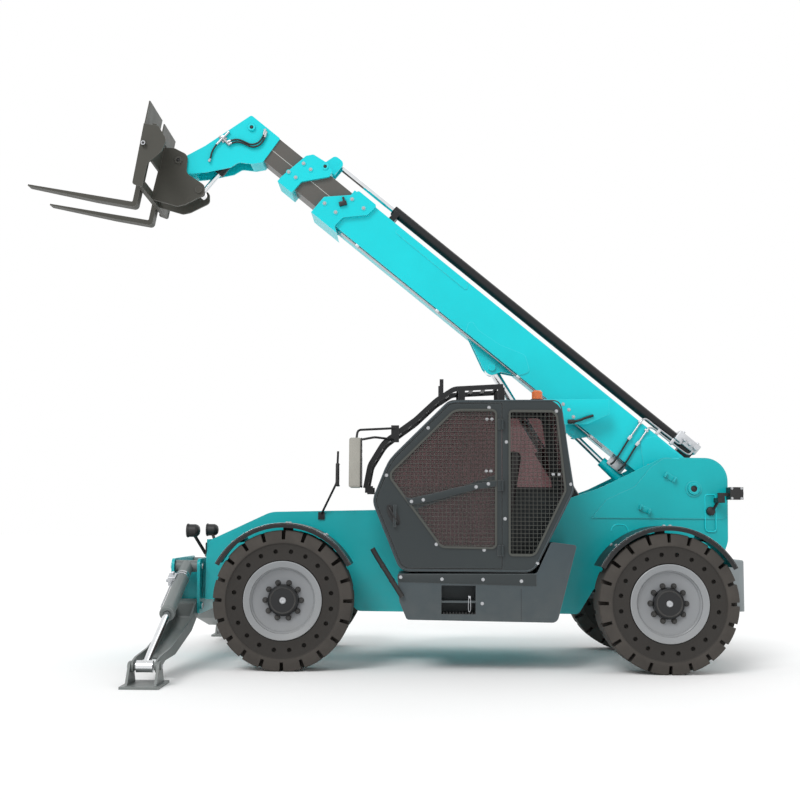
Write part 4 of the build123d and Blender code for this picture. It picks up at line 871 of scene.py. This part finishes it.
class TELEHANDLER_OT_pins(bpy.types.Operator):
    """Cap the ends of the pins"""

    bl_idname = "telehandler.pins"
    bl_label = "Pin ends"

    def execute(self, context):
        for side, hand in (("left", -1), ("right", 1)):
            for point, radius, name, body, finish in (
                (at(2.038, hand * 0.474, 1.603), 0.056, "boom_pivot_", "chassis", "Gloss chassis paint"),
                (on_boom(5.456, 0.071, hand * 0.15), 0.036, "tilt_base_pin_", "boom_inner", "Gloss boom paint"),
                (on_boom(4.64, 0.222, hand * 0.182), 0.034, "rod_lug_pin_", "boom_mid", "Gloss boom paint"),
                (on_tool(0, 0, hand * 0.175), 0.036, "tool_pin_", "carriage", "Worn carriage paint"),
                (on_tool(0.24, -0.022, hand * 0.648), 0.022, "fork_shaft_end_", "carriage", ZINC),
            ):
                pin_end(point, (0, hand, 0), radius, name + side, body, finish)
            for forward, end in ((-1, "_front"), (1, "_rear")):
                along = (forward, 0, 0)
                for (y, z), radius, name in ((RAM_PIN, 0.028, "ram_pin_"), (LEG_PIN, 0.032, "leg_pin_")):
                    point = at(STABILIZER_U + forward * 0.14, hand * y, z)
                    pin_end(point, along, radius, name + side + end, "chassis", ZINC)
                point = at(STABILIZER_U + forward * 0.1212, hand * FOOT_PIN[0], FOOT_PIN[1])
                bolted("foot_bolt_" + side + end, "stabilizer_foot_" + side, [(point, along)], 0.02, 0.014)
        return {"FINISHED"}


# Steel pipes of the boom as (s, t, y) points: two at its foot, two along its underside
BOOM_PIPES = [
    (
        (0.719, 0.03, -0.192), (0.724, 0.1, -0.192), (0.732, 0.205, -0.192), (0.736, 0.262, -0.186),
        (0.7, 0.29, -0.15), (0.64, 0.292, -0.125), (0.44, 0.3, -0.118), (0.35, 0.302, -0.115), (0.315, 0.305, -0.112),
        (0.3, 0.335, -0.105), (0.3, 0.365, -0.09),
    ),
    (
        (0.626, 0.03, -0.192), (0.631, 0.1, -0.192), (0.638, 0.18, -0.192), (0.64, 0.236, -0.186),
        (0.6, 0.262, -0.15), (0.54, 0.264, -0.13), (0.4, 0.266, -0.125), (0.23, 0.272, -0.12), (0.185, 0.28, -0.115),
        (0.17, 0.315, -0.108), (0.17, 0.365, -0.09),
    ),
] + [
    ((0.86, -0.186, end), (1.5, -0.178, y), (2.5, -0.178, y), (3.5, -0.178, y), (4.1, -0.18, end))
    for end, y in ((-0.15, -0.152), (-0.128, -0.13))
]
# Place (s, t, y) and size of each clamp, and last of the foot hoses' bulkhead block
PIPE_CLAMPS = [
    ((0.54, 0.262, -0.124), (0.03, 0.042, 0.06)), ((0.38, 0.28, -0.118), (0.03, 0.036, 0.064)),
    *(((s, -0.178, -0.14), (0.04, 0.058, 0.026)) for s in (1.0, 1.9, 2.9, 3.9)),
    *(((s, 0.04, -0.192), (0.03, 0.03, 0.046)) for s in (0.722, 0.629)),
    ((0.735, 0.215, -0.188), (0.04, 0.024, 0.02)), ((0.641, 0.195, -0.188), (0.04, 0.024, 0.02)),
    ((0.645, -0.214, -0.044), (0.17, 0.05, 0.11)),
]
# Ends (s, t, y), radius and sides of the fittings on the side of the head, where the hoses start and end
HEAD_FITTINGS = [
    end
    for shift in (0.0, 0.024)
    for end in (
        ((5.312 - shift, 0.085 - shift / 2, -0.158), (5.335 - shift, 0.13 - shift / 2, -0.156), 0.012, 14),
        ((5.335 - shift, 0.13 - shift / 2, -0.137), (5.335 - shift, 0.13 - shift / 2, -0.168), 0.015, 6),
        ((5.523 - shift, -0.16 - shift / 2, -0.158), (5.545 - shift, -0.195 - shift / 2, -0.158), 0.012, 14),
    )
] + [
    ((5.5, -0.205, -0.158), (5.61, -0.195, -0.158), 0.014, 14),
    ((5.596, -0.1, -0.156), (5.6, -0.215, -0.156), 0.012, 14),
    ((5.6, -0.19, -0.158), (5.606, -0.28, -0.158), 0.012, 14),
    ((5.64, -0.205, -0.156), (5.59, -0.195, -0.156), 0.012, 14),
    ((5.562, -0.425, -0.158), (5.553, -0.455, -0.156), 0.012, 14),
    ((5.555, -0.448, -0.137), (5.555, -0.448, -0.168), 0.014, 6),
]


class TELEHANDLER_OT_boom_fittings(bpy.types.Operator):
    """Bolt the collars and put the pipes, clamps, sensor and valve block on the boom"""

    bl_idname = "telehandler.boom_fittings"
    bl_label = "Boom fittings"

    def execute(self, context):
        for body, half, bosses in (
            ("boom_main", 0.2138, ((4.404, -0.066), (4.265, -0.066), (4.225, 0.134), (4.082, 0.136))),
            ("boom_mid", 0.1878, ((4.821, 0.111), (4.879, -0.046), (4.73, 0.109), (4.791, -0.044))),
        ):
            places = [(on_boom(s, t, hand * half), (0, hand, 0)) for s, t in bosses for hand in (-1, 1)]
            bolted(body + "_collar_bolts", body, places, 0.013, 0.008)
        # Position sensor with its plug on the main collar
        lean = (0, BOOM_LEAN + radians(38), 0)
        body = block(on_boom(4.264, 0.043, -0.222), (0.045, 0.03, 0.075), 0.006, lean)
        cap = block(on_boom(4.28, 0.075, -0.224), (0.06, 0.022, 0.022), 0.004, lean)
        fitted(joined([body, cap]), "collar_sensor", "boom_main", PLASTIC)
        radius = context.scene.telehandler_sizes.pipe
        pipes = [pipe([on_boom(*p) for p in points], radius, 10) for points in BOOM_PIPES]
        fitted(joined(pipes), "boom_pipes", "boom_main", ZINC)
        turn = (0, BOOM_LEAN, 0)
        clamps = [block(on_boom(*place), size, 0.004, turn) for place, size in PIPE_CLAMPS]
        fitted(joined(clamps), "boom_pipe_clamps", "boom_main", "Cast aluminium")
        manifold = block(on_boom(0.255, 0.375, 0), (0.25, 0.19, 0.1), 0.008, turn, 3)
        spools = [
            rod(on_boom(s, 0.375, hand * 0.09), on_boom(s, 0.375, hand * 0.125), 0.02, 0.004)
            for s in (0.17, 0.235, 0.3) for hand in (-1, 1)
        ]
        screws = [
            rod(on_boom(s, 0.42, y), on_boom(s, 0.445, y), 0.015, 0.004) for s in (0.17, 0.34) for y in (-0.05, 0.05)
        ]
        fitted(joined([manifold] + spools + screws), "extension_valve", "boom_main", "Cast aluminium")
        fittings = [
            rod(on_boom(*start), on_boom(*end), radius, 0.003, sides) for start, end, radius, sides in HEAD_FITTINGS
        ]
        plate = block(on_boom(5.598, -0.195, -0.143), (0.06, 0.012, 0.06), 0.003, turn)
        fitted(joined(fittings + [plate]), "head_fittings", "boom_inner", ZINC)
        # Grease points of the boom's foot
        nipples = [
            (on_boom(s, t, hand * 0.1785), (0, hand, 0)) for s, t in ((0.1, 0.12), (0.42, -0.05)) for hand in (-1, 1)
        ]
        bolted("grease_points", "boom_main", nipples, 0.01, 0.01)
        return {"FINISHED"}


# Weld beads on the tower's side: distance from the middle and (u, z) points of the slot, the moon and the seam
TOWER_BEADS = (
    (0.462, (
        (2.141, 1.266), (2.141, 1.215), (2.19, 1.215), (2.239, 1.215), (2.239, 1.266), (2.239, 1.5), (2.239, 1.55),
        (2.19, 1.55), (2.141, 1.55), (2.141, 1.5), (2.141, 1.266),
    )),
    (0.45, ((1.281, 1.213), (1.29, 1.262), (1.358, 1.276), (1.425, 1.262), (1.436, 1.214))),
    (0.4505, (
        (1.236, 1.329), (1.295, 1.393), (1.436, 1.459), (1.554, 1.565), (1.637, 1.671), (1.675, 1.77), (1.7, 1.8),
        (1.768, 1.807), (1.785, 1.85), (1.8, 1.876), (1.91, 1.88),
    )),
)


class TELEHANDLER_OT_tower_fittings(bpy.types.Operator):
    """Put the folded lugs, weld beads, cover plate, its bolts and lever on the tower"""

    bl_idname = "telehandler.tower_fittings"
    bl_label = "Tower fittings"

    def execute(self, context):
        lugs, beads = [], []
        for hand in (-1, 1):
            face = hand * 0.462
            for u, z, lean in ((1.82, 1.71, 35), (1.585, 1.412, 20)):
                turn = (0, radians(lean), 0)
                lugs.append(block(at(u, face + hand * 0.006, z), (0.105, 0.012, 0.05), 0.003, turn))
                for du, dz in ((-0.04, 0.02), (0.04, -0.024)):
                    lugs.append(block(at(u + du, face + hand * 0.026, z + dz), (0.014, 0.045, 0.05), 0.003, turn))
            beads += [pipe(facing(hand * y, pairs), 0.006, 8, 2) for y, pairs in TOWER_BEADS]
        fitted(joined(lugs), "tower_lugs", "chassis", "Gloss chassis paint")
        # The beads take the paler boom paint, not the chassis paint, so that they show as light lines: a painted
        # highlight
        fitted(joined(beads), "tower_weld_beads", "chassis", "Gloss boom paint")
        back = -0.3298
        corners = facing(back, (
            (0.56, 2.34), (0.566, 2.436), (1.29, 2.44), (1.292, 2.3), (1.09, 2.205), (0.76, 2.195),
        ))
        fitted(slab(corners, (0, 0.006, 0), 0.002), "cab_back_plate", "chassis", "Gloss boom paint")
        bolts = [(point, (0, -1, 0)) for point in facing(back, ((0.86, 2.391), (0.914, 2.339), (0.956, 2.272)))]
        bolted("cab_back_bolts", "chassis", bolts, 0.012, 0.008)
        lever = pipe([
            at(0.93, -0.345, 2.225), at(1.0, -0.35, 2.232), at(1.06, -0.35, 2.262), at(1.14, -0.345, 2.285),
        ], 0.012)
        knob = block(at(0.935, -0.34, 2.226), (0.07, 0.024, 0.04), 0.008)
        fitted(joined([lever, knob]), "cab_back_lever", "chassis", PLASTIC)
        return {"FINISHED"}


class TELEHANDLER_OT_lamp_fittings(bpy.types.Operator):
    """Give the work lamps their lenses, bezels, backs and bolts"""

    bl_idname = "telehandler.lamp_fittings"
    bl_label = "Lamp fittings"

    def execute(self, context):
        lenses, bezels, bolts = [], [], []
        for hand in (-1, 1):
            front, rear = at(-2.595, hand * 0.535, 1.185), at(2.437, hand * 0.6, 1.56)
            ahead, behind = (-1, 0, 0), (1, 0, 0)
            for profile, centre, axis, pieces, steps in (
                (((0, 0), (0.05, 0), (0.048, 0.006), (0.03, 0.012), (0, 0.014)), front, ahead, lenses, 36),
                (((0.048, 0), (0.063, -0.006), (0.064, 0.006), (0.058, 0.012), (0.05, 0.01)),
                 front, ahead, bezels, 36),
                (((0, 0), (0.056, 0), (0.052, 0.016), (0.036, 0.032), (0.015, 0.038), (0, 0.038)),
                 at(-2.525, hand * 0.535, 1.185), behind, bezels, 32),
                (((0, 0), (0.044, 0), (0.042, 0.004), (0.025, 0.008), (0, 0.009)), rear, behind, lenses, 36),
                (((0.042, 0), (0.052, 0), (0.051, 0.008), (0.044, 0.009)), rear, behind, bezels, 36),
                (((0, 0), (0.04, 0), (0.042, 0.01), (0.036, 0.03), (0.02, 0.036), (0, 0.036)),
                 at(2.19, hand * 0.462, 1.4), (0, hand, 0), bezels, 28),
            ):
                pieces.append(turned(profile, centre, axis, steps))
            bezels.append(pipe([at(u, hand * y, z) for u, y, z in (
                (2.2, 0.48, 1.4), (2.225, 0.5, 1.44), (2.245, 0.54, 1.5), (2.262, 0.585, 1.545),
            )], 0.014))
            bolts += [(at(u, hand * 0.675, z), (0, hand, 0)) for u in (2.335, 2.421) for z in (1.515, 1.605)]
            bolts += [
                (at(-2.4503, hand * y, z), ahead) for y, z in ((0.395, 1.055), (0.368, 0.962), (0.422, 0.962))
            ]
        fitted(joined(lenses), "lamp_lenses", "chassis", "Clear lens")
        fitted(joined(bezels), "lamp_bezels", "chassis", PLASTIC)
        bolted("lamp_bolts", "chassis", bolts, 0.009, 0.007)
        base = turned(
            ((0.04, -0.001), (0.0635, -0.001), (0.0635, 0.022), (0.056, 0.028), (0.049, 0.028)),
            at(0.557, -0.9, 2.349), (0, 0, 1), 40,
        )
        fitted(base, "beacon_base", "chassis", PLASTIC)
        return {"FINISHED"}


class TELEHANDLER_OT_stabilizer_fittings(bpy.types.Operator):
    """Put the lock valves, pipes, bands and glands on the stabilizer cylinders"""

    bl_idname = "telehandler.stabilizer_fittings"
    bl_label = "Stabilizer fittings"

    def execute(self, context):
        # How far the cylinder's line falls from its pin to the foot's
        drop = atan2(RAM_PIN[1] - FOOT_PIN[1], FOOT_PIN[0] - RAM_PIN[0])
        for side, hand in (("left", -1), ("right", 1)):
            body = "stabilizer_barrel_" + side
            along = Vector((0, hand * cos(drop), -sin(drop)))
            up = Vector((0, hand * sin(drop), cos(drop)))
            start = at(STABILIZER_U, hand * RAM_PIN[0], RAM_PIN[1])

            def on_ram(run, front, rise):
                return start + along * run + Vector((-front, 0, 0)) + up * rise

            lean = (-hand * drop, 0, 0)
            valve = block(on_ram(0.325, 0.072, 0.02), (0.07, 0.095, 0.085), 0.006, lean, 3)
            ports = [
                rod(on_ram(0.3, 0.07, 0.062), on_ram(0.3, 0.07, 0.082), 0.016, 0.003, 6),
                rod(on_ram(0.35, 0.107, 0.02), on_ram(0.35, 0.125, 0.02), 0.015, 0.003, 6),
            ]
            fitted(joined([valve] + ports), "lock_valve_" + side, body, "Cast aluminium")
            line = pipe([on_ram(r, f, h) for r, f, h in (
                (0.36, 0.07, 0.02), (0.45, 0.068, 0.02), (0.7, 0.068, 0.02), (0.84, 0.068, 0.02),
                (0.88, 0.064, 0.018), (0.885, 0.05, 0.014),
            )], 0.007)
            band = ((0.0598, -0.012), (0.064, -0.012), (0.064, 0.012), (0.0598, 0.012))
            bands = [turned(band, on_ram(run, 0, 0), along, 40) for run in (0.235, 0.275)]
            fitted(joined([line] + bands), "ram_pipe_" + side, body, ZINC)
            gland = turned(
                ((0.0595, -0.02), (0.066, -0.012), (0.066, 0.03), (0.062, 0.036), (0.04, 0.036), (0.033, 0.03),
                 (0.033, 0.012), (0.0595, 0.006)),
                on_ram(0.925, 0, 0), along, 48,
            )
            fitted(gland, "ram_gland_" + side, body, "Grey stabilizer paint")
        return {"FINISHED"}


class TELEHANDLER_OT_cab_fittings(bpy.types.Operator):
    """Bolt the cab and door, and add the rim, handle, mirror and skirt details"""

    bl_idname = "telehandler.cab_fittings"
    bl_label = "Cab fittings"

    def execute(self, context):
        for name, body, proud, places in (
            ("window_bar_bolts", "cab_door", 0.0175, (
                (0.107, 1.612), (0.001, 1.585), (-0.455, 1.47), (-0.557, 1.455),
            )),
            ("door_bolts", "cab_door", 0.0, (
                (0.113, 2.276), (0.095, 2.173), (0.137, 2.174), (-0.416, 2.094), (-0.775, 1.68), (0.09, 1.722),
                (0.129, 1.722), (-0.34, 1.089), (0.072, 1.044),
            )),
            ("cab_bolts", "chassis", 0.0, (
                (0.264, 1.977), (0.252, 1.313), (0.53, 0.934), (0.822, 1.615), (0.699, 2.249), (0.669, 1.701),
                (0.718, 1.701),
            )),
            ("skirt_bolts", "chassis", 0.003, (
                (-0.645, 0.806), (-0.29, 0.792), (0.063, 0.792), (0.392, 0.781), (0.056, 0.588),
            )),
        ):
            points = facing(CAB_FACE - proud, places)
            bolted(name, body, [(p, (0, -1, 0)) for p in points], context.scene.telehandler_sizes.bolt, 0.007)
        # Bar across the door's mesh, between its two windows
        bar = slab(facing(CAB_FACE - 0.0125, (
            (-0.615, 1.492), (-0.553, 1.484), (-0.36, 1.528), (-0.174, 1.579), (0.0, 1.612), (0.178, 1.642),
            (0.178, 1.592), (0.0, 1.562), (-0.146, 1.526), (-0.32, 1.476), (-0.483, 1.439), (-0.575, 1.424),
        )), (0, -0.005, 0), 0.0015)
        fitted(bar, "window_bar", "cab_door", "Satin cab paint")
        # Door handle: a recessed oval dish with its pull
        lean = Vector((0.085, 0, -0.153)).normalized()
        across = Vector((lean.z, 0, -lean.x))
        middle = at(-0.713, CAB_FACE, 1.337)
        turns = [2 * pi * k / 28 for k in range(28)]
        oval = [middle + lean * (0.098 * sin(a)) + across * (0.04 * cos(a)) for a in turns]
        dish = slab(oval, (0, -0.006, 0), 0.003)
        pull = pipe([
            middle + lean * run + Vector((0, -out, 0))
            for run, out in ((-0.085, 0.004), (-0.07, 0.026), (0, 0.03), (0.07, 0.026), (0.085, 0.004))
        ], 0.012, 10, 4)
        fitted(joined([dish, pull]), "door_pull", "cab_door", PLASTIC)
        # Skirt overlap strip below the door, perforated fold line and step teeth
        strip = facing(CAB_FACE, ((-0.671, 0.832), (-0.664, 0.764), (0.522, 0.738), (0.522, 0.842)))
        strip = slab(strip, (0, -0.003, 0), 0.001)
        fitted(strip, "skirt_strip", "chassis", "Satin cab paint")
        # The perforations are black discs a little proud of the face: painted shade for the dark seen through holes
        details = [
            rod(at(0.391, CAB_FACE + 0.001, z), at(0.391, CAB_FACE - 0.0006, z), 0.0045, 0.0003, 8)
            for z in (0.447 + k * 0.0186 for k in range(15))
        ]
        for u in (-0.283 + k * 0.027 for k in range(11)):
            tooth = facing(CAB_FACE + 0.004, ((u, 0.496), (u + 0.022, 0.496), (u + 0.015, 0.512), (u + 0.007, 0.512)))
            details.append(slab(tooth, (0, 0.12, 0), 0.0015, 1))
        fitted(joined(details), "skirt_details", "chassis", PLASTIC)
        latch = block(at(-0.052, CAB_FACE + 0.01, 0.64), (0.022, 0.012, 0.022), 0.003)
        loop = pipe(facing(CAB_FACE + 0.012, (
            (-0.06, 0.64), (-0.062, 0.58), (-0.062, 0.53), (-0.052, 0.51), (-0.042, 0.53), (-0.042, 0.58),
            (-0.044, 0.64),
        )), 0.003)
        fitted(joined([latch, loop]), "step_latch", "chassis", ZINC)
        # Bright pressed rim round the cab's side
        rim = facing(CAB_FACE - 0.001, (
            (-0.1, 2.33), (-0.235, 2.328), (-0.3, 2.262), (-0.7, 1.862), (-0.752, 1.808), (-0.79, 1.72),
            (-0.86, 1.54), (-0.889, 1.462), (-0.862, 1.396), (-0.705, 1.01), (-0.643, 0.868), (-0.5, 0.866),
            (0.35, 0.866), (0.492, 0.868), (0.552, 0.985), (0.8, 1.48), (0.84, 1.562), (0.83, 1.65), (0.75, 2.23),
            (0.738, 2.305), (0.7, 2.342), (0.62, 2.342), (0.3, 2.341), (-0.1, 2.33),
        ))
        fitted(pipe(rim, 0.006, 6, 2), "cab_rim", "chassis", "Satin skirt paint")
        # Mirror head: rounded shell, dark rim and glass that looks back
        shell = block(at(-1.046, -1.15, 1.785), (0.104, 0.2, 0.43), 0.02, segments=4)
        fitted(shell, "mirror_shell", "chassis", "Grey plastic")
        rim = block(at(-0.992, -1.15, 1.785), (0.012, 0.196, 0.426), 0.005, segments=3)
        small = block(at(-1.228, -0.64, 1.7), (0.034, 0.13, 0.21), 0.01, segments=3)
        fitted(joined([rim, small]), "mirror_rims", "chassis", PLASTIC)
        glass = [
            slab([at(u, y + w, z + h) for w, h in ((-wide, -high), (wide, -high), (wide, high), (-wide, high))],
                 (0.002, 0, 0), 0.0008)
            for u, y, z, wide, high in ((-0.9862, -1.15, 1.785, 0.082, 0.198), (-1.2112, -0.64, 1.7, 0.054, 0.092))
        ]
        fitted(joined(glass), "mirror_glass", "chassis", "Mirror silver")
        # Rubber sleeve rings on the grab rail
        sleeve = ((0.0218, -0.012), (0.025, -0.008), (0.025, 0.008), (0.0218, 0.012))
        places = facing(-1.1723, ((-0.8, 0.903), (-0.72, 0.779)))
        rings = [turned(sleeve, place, (0.543, 0, -0.84), 28) for place in places]
        fitted(joined(rings), "grab_rings", "chassis", PLASTIC)
        return {"FINISHED"}


class TELEHANDLER_OT_hood_fittings(bpy.types.Operator):
    """Put the mesh, latches and handle on the engine hood"""

    bl_idname = "telehandler.hood_fittings"
    bl_label = "Hood fittings"

    def execute(self, context):
        # Woven mesh: level wires every 20 mm, upright ones behind them every 30 mm
        wires = [(1.1185, -0.64, 0.65, z, z + 0.006) for z in (0.95 + 0.02 * k for k in range(19))]
        wires += [(1.1155, u, u + 0.006, 0.945, 1.32) for u in (-0.64 + 0.03 * k for k in range(43))]
        bars = [
            slab(facing(y, ((front, low), (rear, low), (rear, high), (front, high))), (0, -0.003, 0), 0.0008, 1)
            for y, front, rear, low, high in wires
        ]
        fitted(joined(bars), "hood_mesh", "engine_hood", BLACK)
        latches = []
        for u in (-0.55, 0.56):
            latches.append(block(at(u, 1.1565, 0.945), (0.075, 0.013, 0.055), 0.004))
            latches.append(block(at(u, 1.1665, 0.94), (0.05, 0.01, 0.024), 0.004))
        grip = pipe([at(u, y, 0.96) for u, y in (
            (-0.1, HOOD_FACE), (-0.1, 1.186), (-0.085, 1.19), (0.095, 1.19), (0.11, 1.186), (0.11, HOOD_FACE),
        )], 0.01)
        fitted(joined(latches + [grip]), "hood_latches", "engine_hood", PLASTIC)
        for name, body, lengthwise, heights in (
            ("hood_bolts", "engine_hood", (-0.775, 0.785), (0.96, 1.12, 1.28)),
            ("pod_bolts", "chassis", (-0.775, -0.26, 0.27, 0.785), (0.52, 0.84)),
        ):
            bolts = [(at(u, HOOD_FACE, z), (0, 1, 0)) for u in lengthwise for z in heights]
            bolted(name, body, bolts, 0.009, 0.007)
        return {"FINISHED"}


def stuffed(name, centre, size, turn, cap):
    """Cushion blown up by cloth pressure from a rounded block, held to a cap, with two sewn channels."""
    alone()
    bpy.ops.mesh.primitive_cube_add(size=1, location=(0, 0, 0), scale=[s - 0.018 for s in size])
    piece = modified(added(), "BEVEL", width=0.03, segments=3)
    modified(piece, "REMESH", mode="VOXEL", voxel_size=0.009)
    start = [v.co.copy() for v in piece.data.vertices]
    pick(piece)
    cloth = piece.modifiers.new("Cloth", "CLOTH")
    cloth.settings.use_pressure = True
    cloth.settings.uniform_pressure_force = 4
    cloth.settings.effector_weights.gravity = 0
    for number in range(1, 21):
        bpy.context.scene.frame_set(number)
    bpy.ops.object.modifier_apply(modifier=cloth.name)
    bpy.context.scene.frame_set(1)
    for vertex, home in zip(piece.data.vertices, start):
        push = vertex.co - home
        if push.length > cap:
            vertex.co = home + push * (cap / push.length)
    # Sewn channels: two shallow lines across the cover, 20 mm wide
    thin = min(range(3), key=lambda k: size[k])
    for vertex in piece.data.vertices:
        for spot in (-0.17, 0.17):
            gap = abs(vertex.co.y / size[1] - spot) * size[1]
            if gap < 0.018:
                vertex.co[thin] *= 1 - 0.1 * cos(gap / 0.018 * pi / 2)
    smooth(piece, 80)
    piece.data.transform(Matrix.Translation(centre) @ Matrix.Rotation(turn, 4, "Y"))
    fitted(piece, name, "chassis", "Vinyl seat cover")


class TELEHANDLER_OT_seat(bpy.types.Operator):
    """Make the driver's seat: padded cushions on a pedestal with armrests"""

    bl_idname = "telehandler.seat"
    bl_label = "Driver's seat"

    def execute(self, context):
        stuffed("seat_cushion", at(0.04, SEAT_Y, 1.305), (0.5, 0.48, 0.125), 0, 0.012)
        stuffed("seat_back", at(0.315, SEAT_Y, 1.625), (0.115, 0.46, 0.6), radians(8), 0.012)
        pieces = [
            block(at(0.06, SEAT_Y, 0.935), (0.36, 0.38, 0.045), 0.01),
            block(at(0.06, SEAT_Y, 1.215), (0.36, 0.38, 0.04), 0.01),
            block(at(0.27, SEAT_Y, 1.3), (0.05, 0.3, 0.16), 0.012),
        ]
        # Bellows of the suspension, with folds 40 mm high
        folds = [(0, 0.955)]
        for k in range(6):
            folds += [(r, z + 0.04 * k) for r, z in ((0.165, 0.957), (0.178, 0.967), (0.178, 0.975), (0.165, 0.985))]
        folds.append((0, 1.197))
        pieces.append(turned(folds, at(0.06, SEAT_Y, 0), (0, 0, 1), 40))
        for hand in (-1, 1):
            pieces.append(block(at(0.08, SEAT_Y + hand * 0.25, 1.47), (0.34, 0.05, 0.06), 0.02, segments=4))
            pieces.append(block(at(0.18, SEAT_Y + hand * 0.24, 1.37), (0.055, 0.03, 0.19), 0.008))
        base = fitted(joined(pieces), "seat_base", "chassis", PLASTIC)
        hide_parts("cab_seat")
        return {"FINISHED"}


# Operators in the order in which they run
OPERATORS = [
    TELEHANDLER_OT_stage, TELEHANDLER_OT_finishes, TELEHANDLER_OT_hoses, TELEHANDLER_OT_tyres,
    TELEHANDLER_OT_wheel_fittings, TELEHANDLER_OT_mudguards, TELEHANDLER_OT_pins, TELEHANDLER_OT_boom_fittings,
    TELEHANDLER_OT_tower_fittings, TELEHANDLER_OT_lamp_fittings, TELEHANDLER_OT_stabilizer_fittings,
    TELEHANDLER_OT_cab_fittings, TELEHANDLER_OT_hood_fittings, TELEHANDLER_OT_seat,
]


class TELEHANDLER_PT_panel(bpy.types.Panel):
    """Lists the sizes, colours and pieces"""

    bl_idname = "TELEHANDLER_PT_panel"
    bl_label = "Telehandler"
    bl_space_type = "VIEW_3D"
    bl_region_type = "UI"
    bl_category = "Telehandler"

    def draw(self, context):
        for group in (context.scene.telehandler_colours, context.scene.telehandler_sizes):
            for key in group.__annotations__:
                self.layout.prop(group, key)
        for operator in OPERATORS:
            self.layout.operator(operator.bl_idname)


CLASSES = [TelehandlerColours, TelehandlerSizes, *OPERATORS, TELEHANDLER_PT_panel]


def register():
    for item in CLASSES:
        bpy.utils.register_class(item)
    bpy.types.Scene.telehandler_colours = PointerProperty(type=TelehandlerColours)
    bpy.types.Scene.telehandler_sizes = PointerProperty(type=TelehandlerSizes)


def unregister():
    del bpy.types.Scene.telehandler_sizes
    del bpy.types.Scene.telehandler_colours
    for item in reversed(CLASSES):
        bpy.utils.unregister_class(item)


def main():
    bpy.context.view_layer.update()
    register()
    bpy.ops.telehandler.stage()
    bpy.ops.telehandler.finishes()
    bpy.ops.telehandler.hoses()
    bpy.ops.telehandler.tyres()
    bpy.ops.telehandler.wheel_fittings()
    bpy.ops.telehandler.mudguards()
    bpy.ops.telehandler.pins()
    bpy.ops.telehandler.boom_fittings()
    bpy.ops.telehandler.tower_fittings()
    bpy.ops.telehandler.lamp_fittings()
    bpy.ops.telehandler.stabilizer_fittings()
    bpy.ops.telehandler.cab_fittings()
    bpy.ops.telehandler.hood_fittings()
    bpy.ops.telehandler.seat()


if __name__ == "__main__":
    main()
